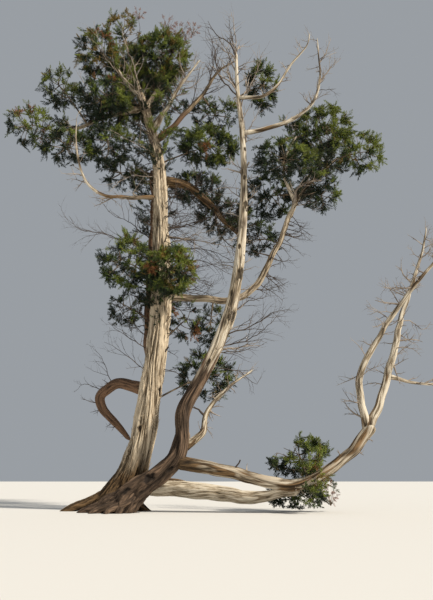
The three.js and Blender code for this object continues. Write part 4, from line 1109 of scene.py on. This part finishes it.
def grow_dead_twig(start, direction, length, girth, draw, forks, lines):
    """Grows a crooked dead twig from a start in a direction."""
    steps = max(2, round(length / KINK_SPACING))
    points, course = [start], unit(direction)
    for _ in range(steps):
        course = unit(course + draw.normal(0, 0.2, 3) + UP * 0.03)
        points.append(points[-1] + course * length / steps)
    fork_twig(np.array(points), girth * np.linspace(1, 0.2, steps + 1), draw, forks, lines)


def grow_stray(node, girth, forks, places, draw, lines):
    """Grows a dead branch along its traced places, from its carrier's line."""
    places = np.array(places, dtype=float)
    places[0] = nearest_on(node, places[0] * MM) / MM
    points, _ = even_places(smooth_course(places) * MM, 0.06)
    points[1:-1] += draw.normal(0, 0.006, (len(points) - 2, 3))
    girths = girth * MM * np.linspace(1, 0.22 if forks or girth < 12 else 0.8, len(points))
    fork_twig(points, girths, draw, forks, lines)


def twigs_mesh(name, lines, sides, material):
    """A mesh of closed twigs along lines that have a girth at each point."""
    sizes = [len(line) for line, _ in lines]
    starts = np.concatenate([[0], np.cumsum(sizes)[:-1]])
    first = np.concatenate([np.arange(start, start + size - 1)
                            for start, size in zip(starts, sizes)])
    mesh = points_mesh(
        name + "_lines", np.vstack([line for line, _ in lines]), np.stack([first, first + 1], axis=1),
        girth=np.concatenate([girth for _, girth in lines]))
    return grow_with(twig_tree(), name, mesh, Sides=sides, Finish=material)


def inside_box(points, slack=0.06):
    """Whether points keep to the frame's box, with a little slack, and above the ground."""
    low, high = np.array(CAD_BOX[0]) - slack, np.array(CAD_BOX[1]) + slack
    low[2] = 0.03
    return np.all((points > low) & (points < high), axis=-1)


def dress_twig(line, draw, sprays):
    """Adds the place, aim and size of each spray along the outer four fifths of a twig."""
    ahead = np.diff(line, axis=0)
    steps = len(ahead)
    length = np.linalg.norm(ahead, axis=1).sum() + 0.02
    count = max(2, round(length / bpy.context.scene.conifer.needles.spray_spacing))
    for share in (np.arange(count) + draw.random(count) * 0.7) / count * 0.82 + BARE_SHARE:
        share = min(share, 1.0)
        index = min(steps - 1, int(share * steps))
        along = unit(ahead[index])
        side = sideways(along, draw)
        lean = draw.uniform(0.5, 1.2) * (1.2 - share)
        sprays.append((
            line[index] + ahead[index] * (share * steps - index),
            unit(along * math.cos(lean) + side * math.sin(lean) + UP * 0.16),
            draw.uniform(0.75, 1.15)))


def grow_shoots(shoots, draw, lines, sprays):
    """Adds leafy shoots on a stretch of a limb, each with a few side twigs."""
    node, start_share, end_share, count, longest = shoots
    for _ in range(count):
        start, ahead, _ = place_on(node, draw.uniform(start_share, end_share))
        side = sideways(ahead, draw)
        length = draw.uniform(0.5, 1.0) * longest * MM
        end = start + unit(side + ahead * 0.4 + UP * 0.2) * length
        bend = (end - start) * 0.5 + draw.normal(0, 0.02, 3)
        line = lay_line(lines, SHOOT, start, end, bend, 4)
        dress_twig(line, draw, sprays)
        for foot in line[1:4]:
            turn = sideways(end - start, draw)
            tip = foot + unit(unit(end - start) + turn * 0.9) * length * draw.uniform(0.3, 0.5)
            dress_twig(lay_line(lines, SIDE_TWIG, foot, tip, (tip - foot) * 0.5, 3), draw, sprays)


def clump(places):
    """How far places lie inside a clump of foliage, from about -1 between clumps to 1."""
    x, y, z = np.atleast_2d(places).T / CLUMP_SIZE
    return smooth_noise(x, y, z * 1.2, 3)


def in_sky_gap(places):
    """Whether the foliage is open at each place."""
    away = [(places - np.array(middle) * MM) * (1, 1 / 3, 1) / (radius * MM)
            for middle, radius in SKY_GAPS]
    return np.any(np.linalg.norm(away, axis=-1) < 1, axis=0)


def grow_boughlets(foot, radius, centre, reach, count, roll, draw, lines):
    """Grows a mass's stem and boughlets, and gives the places and leads of its twigs."""
    axis = unit(centre - foot)
    stem_end = centre + axis * 0.3 * reach.min()
    girth = min(STEM[0], radius * 0.7), STEM[1]
    stem = lay_line(lines, girth, foot, stem_end, (stem_end - foot) * 0.5 + UP * 0.04, 6)
    boughlets = []
    for direction in even_directions(count, roll):
        end = centre + direction * reach * draw.uniform(0.5, 0.72)
        nearest = stem[np.argmin(np.linalg.norm(stem - end, axis=1))]
        start = nearest - axis * 0.25 * np.linalg.norm(end - nearest)
        if (start - foot).dot(axis) < 0:
            start = foot + axis * 0.03
        bend = (end - start) * 0.5 + draw.normal(0, 0.022, 3) - UP * 0.02
        boughlets.append(lay_line(lines, BOUGHLET, start, end, bend, 5))
    return (np.vstack([line[2:] for line in boughlets]),
            np.vstack([np.diff(line, axis=0)[1:] for line in boughlets]))


def deal_tones(spots, offset, sunny, yellow, draw):
    """The tone of each spray, by painted light and shade from the sun, and where needles turn."""
    far = np.linalg.norm(offset, axis=1)
    # Painted light on the sunward side of a mass and of each clump, painted shade inside the mass.
    lit = 0.5 + 0.3 * unit(offset).dot(unit(SUNWARD)) * far
    lit = lit + sunny + draw.normal(0, 0.09, len(spots))
    lit = lit - 0.3 * (1 - np.clip(far, 0, 1))
    lit = lit + 0.55 * (clump(spots) - clump(spots + unit(SUNWARD) * 0.09))
    tones = np.full(len(spots), "deep", dtype=object)
    tones[lit > LIT_GREEN] = "green"
    tones[lit > LIT_SUNLIT] = "sunlit"
    golden = smooth_noise(*(spots / 0.16).T, 21) * 0.9 + draw.normal(0, 0.12, len(spots))
    tones[(golden > 0.68 - yellow * 1.2) & (lit > 0.4)] = "olive"
    for middle, radius in RUST_PATCHES:
        near = np.linalg.norm(spots - np.array(middle) * MM, axis=1) < radius * MM * 1.2
        tones[near & (draw.random(len(spots)) < 0.6)] = "rust"
    return tones


def grow_mass(number, name, carrier, at, centre, reach, fullness, sunny, yellow):
    """Lines and sprays of one mass of foliage: a stem, boughlets from the stem, twigs from the
    boughlets and sprays along the twigs, evenly round its middle."""
    settings = bpy.context.scene.conifer.needles
    draw = np.random.default_rng(FOLIAGE_SEED + number)
    centre, reach = np.array(centre) * MM, np.array(reach) * MM
    foot, _, radius = place_on(carrier, at)
    surface = 4 * math.pi * (reach[0] * reach[1] + reach[1] * reach[2] + reach[2] * reach[0]) / 3
    roll = draw.random() * 2 * math.pi
    lines, sprays = [], []
    knots, leads = grow_boughlets(
        foot, radius, centre, reach, round(surface * settings.boughlets_per_area), roll, draw, lines)
    for direction in even_directions(round(surface * settings.twigs_per_area * fullness), roll + 1):
        direction = unit(direction + draw.normal(0, 0.13, 3))
        end = centre + direction * reach * draw.uniform(0.7, 1.0)
        open_here = draw.random() > 0.35 + 0.35 * fullness + 1.7 * clump(end)[0]
        if open_here or in_sky_gap(end) or not inside_box(end):
            continue
        distance = np.linalg.norm(knots - end, axis=1)
        pick = int(np.argmin(distance + draw.random(len(distance)) * 0.05))
        bend = unit(leads[pick]) * distance[pick] * 0.35 + draw.normal(0, 0.012, 3)
        dress_twig(lay_line(lines, TWIG, knots[pick], end, bend, 3), draw, sprays)
    for shoots in SHOOTS.get(name, ()):
        grow_shoots(shoots, draw, lines, sprays)
    spots, aims, sizes = (np.array(column) for column in zip(*sprays))
    tips = spots + aims * (settings.spray_length + settings.shoot_length) * sizes[:, None]
    kept = inside_box(tips, 0.03) & inside_box(spots, 0.03) & ~in_sky_gap(spots)
    spots, aims, sizes = spots[kept], aims[kept], sizes[kept]
    offset = (spots + aims * 0.04 - centre) / reach
    sizes = sizes * (1.6 - 0.66 * np.clip(np.linalg.norm(offset, axis=1), 0, 1.1))
    return lines, spots, aims, sizes, deal_tones(spots, offset, sunny, yellow, draw)


def grow_withered():
    """Lines and sprays of the dead needles that hang on the bare leaders."""
    draw = np.random.default_rng(FOLIAGE_SEED - 1)
    lines, sprays = [], []
    for middle, radius in WITHERED:
        middle = np.array(middle) * MM
        for direction in even_directions(round(radius / 7), draw.random()):
            end = middle + direction * radius * MM * draw.uniform(0.4, 1.0)
            lay_line(lines, SIDE_TWIG, middle - UP * radius * MM, end, draw.normal(0, 0.01, 3), 3)
            sprays.append((end, unit(direction + UP * 0.2), draw.uniform(0.55, 0.95)))
    spots, aims, sizes = (np.array(column) for column in zip(*sprays))
    kept = inside_box(spots + aims * 0.07, 0.04) & inside_box(spots, 0.03)
    tones = np.full(int(kept.sum()), "withered", dtype=object)
    return lines, spots[kept], aims[kept], sizes[kept], tones


# Settings

def setting(name, description, default, **more):
    """A colour, a count or a measure that a user can change, by the kind of its default."""
    if isinstance(default, tuple):
        return FloatVectorProperty(name=name, description=description, default=default, size=3,
                                   min=0, max=1, subtype="COLOR")
    kind = IntProperty if isinstance(default, int) else FloatProperty
    return kind(name=name, description=description, default=default, **more)


class ConiferWood(PropertyGroup):
    """Sizes and colours of the bark, the bleached wood and the dead twigs."""

    trunk_sides: setting("Trunk sides", "Faces round the main trunk", 196, min=24)
    trunk_spacing: setting(
        "Trunk spacing", "Length of the main trunk's faces", 0.0185, unit="LENGTH")
    shred_count: setting("Shreds", "Loose strips of bark on the main trunk", 620, min=0)
    # The groove colour is partly the bark's own dark and partly painted shade.
    groove: setting("Groove", "Bark in the grooves between its strands", (0.030, 0.021, 0.013))
    bark: setting("Bark", "Bark on the sides of its strands", (0.215, 0.160, 0.100))
    ridge: setting("Ridge", "Bark bleached by the sun", (0.60, 0.50, 0.365))
    # Also the colour of painted shade where the trunk's foot, the middle bough and the root of the left
    # dead bough are darkened.
    weathered: setting("Weathered", "Bark turned grey", (0.108, 0.066, 0.031))
    brown: setting("Brown bark", "Bark kept from the sun", (0.122, 0.072, 0.043))
    bleached: setting("Bleached wood", "Wood without bark", (0.62, 0.55, 0.435))
    ochre: setting("Ochre wood", "Wood newly bare of bark", (0.30, 0.235, 0.155))
    # Pale twigs stand partly for painted sunlight, dark twigs partly for painted shade.
    dark_twig: setting("Dark twigs", "Dead twigs in shade", (0.090, 0.067, 0.052))
    pale_twig: setting("Pale twigs", "Bleached dead twigs", (0.40, 0.335, 0.27))


class ConiferNeedles(PropertyGroup):
    """Sizes, numbers and colours of the foliage."""

    needle_length: setting("Needle length", "Length of a needle", 0.0225, unit="LENGTH")
    needle_width: setting(
        "Needle width", "Width of a needle as a share of its length", 0.31, subtype="FACTOR")
    needle_lean: setting(
        "Needle lean", "Angle between a needle and its twiglet", math.radians(44), subtype="ANGLE")
    whorls: setting("Whorls", "Whorls of three needles in a shoot", 2)
    shoots: setting("Shoots", "Shoots in a spray", 7)
    shoot_length: setting("Shoot length", "Length of a shoot", 0.040, unit="LENGTH")
    spray_length: setting("Spray length", "Length of a spray's twiglet", 0.062, unit="LENGTH")
    spray_spacing: setting(
        "Spray spacing", "Distance between sprays along a twig", 0.046, unit="LENGTH")
    boughlets_per_area: setting(
        "Boughlets", "Boughlets for each square metre of a mass's surface", 11.0)
    twigs_per_area: setting("Twigs", "Twigs for each square metre of a mass's surface", 104.0)
    sunlit: setting("Sunlit", "Needles in full sun", (0.190, 0.228, 0.042))
    green: setting("Green", "Needles in half light", (0.072, 0.104, 0.028))
    # Needles painted dark as shade, inside and under a tuft.
    deep: setting("Deep", "Needles inside and under a tuft", (0.020, 0.033, 0.018))
    olive: setting("Olive", "Needles turning yellow", (0.200, 0.140, 0.032))
    rust: setting("Rust", "Dead needles that hold on", (0.250, 0.112, 0.045))
    withered: setting("Withered", "Old dead needles on bare leaders", (0.34, 0.215, 0.18))


class ConiferStage(PropertyGroup):
    """Floor, light and camera."""

    floor_colour: setting("Floor", "The plain floor", (0.72, 0.70, 0.66))
    sky_colour: setting("Light from all sides", "Soft fill light", (0.84, 0.90, 0.97))
    sky_strength: setting("Fill", "Strength of the fill light", 0.38)
    key_strength: setting("Key", "Strength of the key light", 4.9)
    key_softness: setting("Softness", "Angle of the key light", math.radians(6), subtype="ANGLE")
    lens: setting("Lens", "Focal length in millimetres", 38.4)
    pitch: setting("Pitch", "How far the camera looks up", math.radians(15.5), subtype="ANGLE")


class ConiferSettings(PropertyGroup):
    """All of the tree's settings."""

    wood: PointerProperty(type=ConiferWood)
    needles: PointerProperty(type=ConiferNeedles)
    stage: PointerProperty(type=ConiferStage)


# Where each trunk and limb is worn

def patches(points, grain, size, seed):
    """Patches about as wide as the size that run along the grain, from 0 to about 1."""
    value = smooth_noise(
        grain[:, 0] / size + points[:, 0], grain[:, 1] / size + points[:, 1],
        grain[:, 2] / (size * 6), seed)
    return np.clip(value * 2.2, 0, 1)


def trunk_wear(points, _):
    """The main trunk is greyer and darker at its foot, partly as painted shade near the ground, and
    greyer where its bark has twisted off above.
    """
    z = points[:, 2]
    return np.clip(1 - z, 0, 1) * 1.05 + np.clip((z - 3.9) / 0.8, 0, 1) * 0.35


def bare_trunk_wear(points, grain):
    """The bare trunk keeps brown bark round its lower bend, and patches of it higher up."""
    x, _, z = points.T
    bend = np.clip((2.05 - z) / 0.75, 0, 1) * 0.78 + np.clip((1.25 - x) / 0.6, 0, 1) * 0.12
    return bend + patches(points, grain, 0.06, 51) * 0.5


def barked_limb_wear(points, grain):
    """The bough in the middle of the tree is painted darker as shade, and keeps its brown bark."""
    x, _, z = points.T
    middle = (x > 0.5) & (x < 1.7) & (z > 3.5) & (z < 4.55)
    # Painted shade, with its brown bark, on the middle bough.
    return np.where(middle, 0.62, 0.12) + patches(points, grain, 0.04, 53) * 0.35


def brown_limb_wear(points, _):
    """The dark limb has lost its bark towards its tip."""
    return np.clip((points[:, 2] - 5.2) / 0.35, 0, 1) * 0.8


def dead_limb_wear(points, grain):
    """The long low limb is greyer than the rest, the root of the left dead bough is painted darker as
    shade, the fallen stem is painted lighter as sun under the limbs' shadow, and the long limb is
    brown where it leaves the trunk."""
    x, y, z = points.T
    low = (z < 1.1) & (y < -0.34) & (x < 3.25)
    fallen = (z < 0.36) & (y > -0.44) & (x < 2.3)
    in_shade = (x < 0.5) & (x > -0.3) & (z > 3.9) & (z < 4.3)
    # Painted light on the fallen stem and painted shade at the root of the left dead bough.
    base = np.select([fallen, low, in_shade], [-0.3, 0.36, 0.5], 0.1)
    base = base + (z < 0.8) * (z > 0.36) * np.clip((1.14 - x) / 0.34, 0, 1) * 0.6
    return base + patches(points, grain, 0.045, 52) * 0.5


# Steps of the work, each an operator, and what they share

FACE_WIDTH = 0.0048  # metres round a limb
LIMB_SIDES, LIMB_SPACING = (14, 96), (0.012, 0.021)  # the fewest and the most, in metres along


def grow_trunk(name, limb, material, slot, wear, roots_seed, *fineness, **extras):
    """One piece of a trunk and its roots. Gives the trunk's own tube."""
    trunk = limb_tube(limb, *fineness, **extras)
    line = limb_course(limb)[0]
    roots = [root_tube(line, root, roots_seed + i) for i, root in enumerate(limb["roots"])]
    mesh = join_tubes(name, [trunk, *roots], wear)
    finish_piece(name, mesh, material, [node for node, _ in limb["nodes"]])
    return trunk


def grow_limbs(name, finish, material, wear, coarse=1.0):
    """One piece of all the limbs that have a finish."""
    tubes, nodes = [], []
    for number, limb in enumerate(LIMBS):
        if limb["finish"] == finish:
            thick = limb["butt"] * MM
            sides = int(np.clip(2 * math.pi * thick / (FACE_WIDTH * coarse), *LIMB_SIDES))
            spacing = float(np.clip(thick * 0.32, *LIMB_SPACING))
            tubes.append(limb_tube(limb, spacing, sides, 31 + 5 * number))
            nodes += [node for node, _ in limb["nodes"]]
    finish_piece(name, join_tubes(name, tubes, wear), material, nodes)


def strip_mesh():
    """A thin strip of bark, curled away from the trunk at its ends."""
    length, steps = 0.16, 6
    share = np.linspace(0, 1, steps + 1)
    width = 0.0045 * np.sin(np.pi * (0.08 + 0.86 * share)) + 0.0008
    along = (share - 0.35) * length
    rise = 0.002 + 0.02 * np.clip(share - 0.55, 0, 1) ** 2 * 4 + 0.006 * np.clip(0.2 - share, 0, 1)
    edges = ((-width, rise), (width, rise + 0.001), (width * 0, rise - 0.0025))
    vertices = np.vstack([np.stack([across, along, high], axis=1) for across, high in edges])
    count = steps + 1
    faces = [(a * count + i, b * count + i, b * count + i + 1, a * count + i + 1)
             for i in range(steps) for a, b in ((0, 1), (1, 2), (2, 0))]
    ends = [(0, 2 * count, count), (steps, count + steps, 2 * count + steps)]
    return mesh_of("bark_strip", vertices, faces, ends)


class CONIFER_OT_trunk(Operator):
    """Grow the main trunk's stringy bark, its roots and its loose shreds"""

    bl_idname = "conifer.trunk"
    bl_label = "Main trunk"

    def execute(self, context):
        wood = context.scene.conifer.wood
        limb = LIMBS[0]
        material = wood_material(
            "stringy_bark", wood.groove, wood.bark, wood.ridge, wood.weathered, 0.0065)
        buttresses = [(bearing, radius * MM * 0.75, height * MM * 0.9, 0.42)
                      for bearing, _, height, radius in limb["roots"]]
        trunk = grow_trunk(
            "trunk_bark", limb, material, "bark", trunk_wear, 60, wood.trunk_spacing,
            wood.trunk_sides, 3, buttresses=buttresses,
            knots=[(0.27, 2.6, 0.046), (0.42, 2.2, 0.02), (0.20, 1.2, 0.026), (0.33, 5.0, 0.04)])
        self.lay_shreds(trunk[0], wood, material)
        return {"FINISHED"}

    def lay_shreds(self, vertices, wood, material):
        """Lays loose strips of bark along the strands of the trunk."""
        sides, count = wood.trunk_sides, wood.shred_count
        rows = (len(vertices) - 2) // sides
        grid = vertices[:rows * sides].reshape(rows, sides, 3)
        draw = np.random.default_rng(SHRED_SEED)
        lowest = int(np.argmax(grid[:, :, 2].min(axis=1) > 0.15))
        row = draw.integers(lowest, int(rows * 0.86), count)
        side = draw.integers(0, sides, count)
        lie = unit(grid[np.minimum(row + 3, rows - 1), side] - grid[row - 3, side])
        around = grid[row, (side + 2) % sides] - grid[row, side - 2]
        points = points_mesh("shred_points", grid[row, side], out=unit(np.cross(around, lie)),
                             lie=lie, size=draw.uniform(0.5, 1.35, count))
        strip = link_piece("bark_strip", strip_mesh())
        mesh = grow_with(shred_tree(), "bark_shreds", points, Strip=strip, Finish=material)
        bpy.data.objects.remove(strip)
        places = np.empty(len(mesh.vertices) * 3, dtype=np.float32)
        mesh.vertices.foreach_get("co", places)
        places = places.reshape(-1, 3)
        give(mesh, grain=places, relief=np.full(len(places), 0.85), wear=trunk_wear(places, places))
        finish_piece("bark_shreds", mesh, material, ["main_trunk"])


class CONIFER_OT_bare_trunk(Operator):
    """Grow the bare trunk, with the bark that its lower bend keeps"""

    bl_idname = "conifer.bare_trunk"
    bl_label = "Bare trunk"

    def execute(self, context):
        wood = context.scene.conifer.wood
        kept_bark = tuple(c * share for c, share in zip(wood.brown, (0.76, 0.84, 0.9)))
        material = wood_material(
            "bare_trunk_wood", shaded(wood.ochre, 0.25), wood.ochre, wood.bleached, kept_bark,
            0.008, 0.85, 0.5)
        grow_trunk(
            "bare_trunk_wood", LIMBS[1], material, "bleached_wood", bare_trunk_wear, 80, 0.0185,
            128, 17, shaggy=1.9, buttresses=[(262, 0.05, 0.2, 0.5), (182, 0.06, 0.25, 0.5)],
            # Each knot's hollow holds painted shade; the three lowest stand for the dark hollow at the
            # foot.
            knots=[(0.4467, 2.35, 0.062), (0.5273, 2.0, 0.055), (0.665, 2.1, 0.036),
                   (0.39, 4.6, 0.05), (0.58, 1.2, 0.024), (0.72, 1.7, 0.024), (0.78, 2.2, 0.021),
                   (0.355, 1.5, 0.03), (0.49, 1.0, 0.022), (0.84, 1.4, 0.018), (0.128, 1.3, 0.05),
                   (0.088, 1.0, 0.034), (0.165, 2.1, 0.03)])
        return {"FINISHED"}


class CONIFER_OT_boughs(Operator):
    """Grow the boughs that keep their bark"""

    bl_idname = "conifer.boughs"
    bl_label = "Barked boughs"

    def execute(self, context):
        wood = context.scene.conifer.wood
        bark = wood_material(
            "bough_bark", wood.groove, wood.bark, shaded(wood.ridge, 0.82), wood.weathered, 0.006)
        grow_limbs("bough_bark", "barked", bark, barked_limb_wear)
        brown = wood_material(
            "brown_bark", shaded(wood.brown, 0.3), wood.brown, shaded(wood.brown, 1.7), wood.bark,
            0.006)
        grow_limbs("brown_bark", "brown", brown, brown_limb_wear)
        return {"FINISHED"}


class CONIFER_OT_dead_limbs(Operator):
    """Grow the bleached dead limbs"""

    bl_idname = "conifer.dead_limbs"
    bl_label = "Bleached limbs"

    def execute(self, context):
        wood = context.scene.conifer.wood
        material = wood_material(
            "bleached_wood", shaded(wood.ochre, 0.25), shaded(wood.ochre, 0.95), wood.bleached,
            wood.weathered, 0.007, 0.8, 0.4)
        grow_limbs("bleached_wood", "bleached", material, dead_limb_wear, 1.1)
        return {"FINISHED"}


class CONIFER_OT_dead_twigs(Operator):
    """Grow the fine dead twigs of every limb"""

    bl_idname = "conifer.dead_twigs"
    bl_label = "Dead twigs"

    def execute(self, context):
        wood = context.scene.conifer.wood
        grown = {"dark": ([], set()), "pale": ([], set())}
        draw = np.random.default_rng(TWIG_SEED)

        def lines_on(node, look=None):
            """The lines of a look, or of a node's own look, and a note that the node bears some."""
            lines, nodes = grown[look or ("dark" if node in DARK_SCRUB else "pale")]
            nodes.add(node)
            return lines

        for limb in LIMBS:
            for share, bearing, rise, length in limb["twigs"]:
                node = next(name for name, end in limb["nodes"] if share <= end)
                place, radius = foot_at(limb, share)
                forks = 1 if node == "bare_trunk" and share > 0.8 else 2
                grow_dead_twig(place, heading(bearing, rise), length * MM,
                               min(0.014, radius * 0.5), draw, forks, lines_on(node))
        for node, start, end, count, shortest, longest, bearing, spread, low, high in SCRUB:
            limb, node_start, _ = limb_named(node)
            for number in range(count):
                share = max(node_start, start + (end - start) * (number + draw.random()) / count)
                place, radius = foot_at(limb, min(share, 0.995))
                towards = heading(bearing + draw.uniform(-spread, spread), draw.uniform(low, high))
                grow_dead_twig(place, towards, draw.uniform(shortest, longest) * MM,
                               min(0.0078, radius * 0.45), draw, 2, lines_on(node))
        for node, look, girth, forks, places in STRAYS:
            grow_stray(node, girth, forks, places, draw, lines_on(node, look))
        self.finish("dark_twigs", "brown_bark", shaded(wood.dark_twig, 0.55), wood.dark_twig,
                    *grown["dark"])
        self.finish("pale_twigs", "bleached_wood", wood.dark_twig, wood.pale_twig, *grown["pale"])
        return {"FINISHED"}

    def finish(self, name, slot, dark, light, lines, nodes):
        """Makes one piece of twigs from the lines that keep to the tree's box."""
        material = twig_material(name, dark, light)
        kept = [line for line in lines if np.all(inside_box(line[0][1:], 0.05))]
        finish_piece(name, twigs_mesh(name, kept, 4, material), material, sorted(nodes))


def twiglet_mesh():
    """A flat twiglet one unit long that ends in a point."""
    corners = [(0.0024, 0, 0), (0, 0, 1), (-0.0024, 0.0008, 0)]
    return mesh_of("twiglet", corners, [(0, 1, 2)], smooth=False)


def whorl_mesh(width, lean):
    """Three needles one unit long round a twiglet, each widest at its foot and sharp at its tip."""
    vertices = []
    for turn in (0, 120, 240):
        out, side = heading(turn, 0), heading(turn + 90, 0) * width / 2
        vertices += [side, out * math.sin(lean) + UP * math.cos(lean), -side]
    return mesh_of("needle_whorl", vertices, np.arange(9).reshape(3, 3), smooth=False)


class CONIFER_OT_foliage(Operator):
    """Grow the living boughlets, twigs and needle sprays of every mass of foliage"""

    bl_idname = "conifer.foliage"
    bl_label = "Foliage"

    def execute(self, context):
        wood, needles = context.scene.conifer.wood, context.scene.conifer.needles
        names = [mass[0] for mass in MASSES]
        grown = [grow_mass(number, *mass) for number, mass in enumerate(MASSES)]
        grown.append(grow_withered())
        lines, *sprays = zip(*grown)
        lines = [line for part in lines for line in part]
        half = len(lines) // 2
        material = twig_material("living_twigs", wood.dark_twig, wood.bark)
        for side, part in (("lower", lines[half:]), ("upper", lines[:half])):
            name = f"foliage_twigs_{side}"
            finish_piece(name, twigs_mesh(name, part, 3, material), material, names)
        spots, aims, sizes, tones = (np.concatenate(column) for column in sprays)
        whorl = link_piece("needle_whorl", whorl_mesh(needles.needle_width, needles.needle_lean))
        twiglet = link_piece("twiglet", twiglet_mesh())
        tree = needle_tree()
        for tone in ("sunlit", "green", "deep", "olive", "rust", "withered"):
            material = needle_material("needles_" + tone, getattr(needles, tone))
            chosen = np.flatnonzero(tones == tone)
            chosen = chosen[np.argsort(spots[chosen, 0])]
            parts = math.ceil(len(chosen) / SPRAYS_IN_A_PIECE)
            for number, part in enumerate(np.array_split(chosen, parts)):
                name = f"needles_{tone}_{number + 1}"
                points = points_mesh(name + "_points", spots[part], aim=aims[part], size=sizes[part])
                mesh = grow_with(
                    tree, name, points, Whorl=whorl, Twiglet=twiglet, Whorls=needles.whorls,
                    Shoots=needles.shoots, Needle_length=needles.needle_length,
                    Shoot_length=needles.shoot_length, Spray_length=needles.spray_length,
                    Seed=FOLIAGE_SEED, Finish=material)
                finish_piece(name, mesh, material, names)
        bpy.data.objects.remove(whorl)
        bpy.data.objects.remove(twiglet)
        return {"FINISHED"}


class CONIFER_OT_stage(Operator):
    """Set the floor, the light and the camera"""

    bl_idname = "conifer.stage"
    bl_label = "Stage"

    def execute(self, context):
        scene = context.scene
        self.lay_floor(scene.conifer.stage)
        self.set_light(scene, scene.conifer.stage)
        self.set_camera(scene, scene.conifer.stage)
        return {"FINISHED"}

    def lay_floor(self, stage):
        """A plain pale floor just under the tree."""
        half, depth = 60, -0.002
        corners = [(x * half, y * half, depth) for x, y in ((-1, -1), (1, -1), (1, 1), (-1, 1))]
        material, _, shader = new_material("floor", 0.9)
        shader["Base Color"].default_value = (*stage.floor_colour, 1)
        mesh = mesh_of("floor", corners, [(0, 1, 2, 3)], smooth=False)
        link_piece("floor", mesh, material)

    def set_light(self, scene, stage):
        """Soft light from all sides and a key light from the right, front and above."""
        scene.world = bpy.data.worlds.new("soft_light")
        scene.world.use_nodes = True
        back = scene.world.node_tree.nodes["Background"].inputs
        back["Color"].default_value = (*stage.sky_colour, 1)
        back["Strength"].default_value = stage.sky_strength
        lamp = bpy.data.lights.new("key", "SUN")
        lamp.energy = stage.key_strength
        lamp.angle = stage.key_softness
        lamp.color = (1.0, 0.93, 0.82)
        key = link_piece("key", lamp)
        key.rotation_euler = Vector(SUNWARD).to_track_quat("Z", "Y").to_euler()
        scene.view_settings.view_transform = "Standard"

    def set_camera(self, scene, stage):
        """The camera of the photograph, low in front of the tree and looking up."""
        data = bpy.data.cameras.new("camera")
        data.lens = stage.lens
        data.clip_end = 200
        scene.camera = link_piece("camera", data)
        scene.camera.location = CAMERA_PLACE
        scene.camera.rotation_euler = (math.pi / 2 + stage.pitch, 0, 0)


class CONIFER_PT_panel(Panel):
    """The tree's settings and steps"""

    bl_label = "Weathered Conifer"
    bl_idname = "CONIFER_PT_panel"
    bl_space_type = "VIEW_3D"
    bl_region_type = "UI"
    bl_category = "Conifer"

    def draw(self, context):
        settings = context.scene.conifer
        for group in (settings.wood, settings.needles, settings.stage):
            box = self.layout.box()
            for name in group.__annotations__:
                box.prop(group, name)
        for operator in OPERATORS:
            self.layout.operator(operator.bl_idname)


OPERATORS = (CONIFER_OT_stage, CONIFER_OT_trunk, CONIFER_OT_bare_trunk, CONIFER_OT_boughs,
             CONIFER_OT_dead_limbs, CONIFER_OT_dead_twigs, CONIFER_OT_foliage)
CLASSES = (ConiferWood, ConiferNeedles, ConiferStage, ConiferSettings, *OPERATORS, CONIFER_PT_panel)


def register():
    """Registers the settings, steps and panel."""
    for cls in CLASSES:
        bpy.utils.register_class(cls)
    bpy.types.Scene.conifer = PointerProperty(type=ConiferSettings)


def unregister():
    """Takes them away again."""
    del bpy.types.Scene.conifer
    for cls in reversed(CLASSES):
        bpy.utils.unregister_class(cls)


def main():
    """Grows the whole tree."""
    register()
    bpy.ops.conifer.stage()
    bpy.ops.conifer.trunk()
    bpy.ops.conifer.bare_trunk()
    bpy.ops.conifer.boughs()
    bpy.ops.conifer.dead_limbs()
    bpy.ops.conifer.dead_twigs()
    bpy.ops.conifer.foliage()


if __name__ == "__main__":
    main()
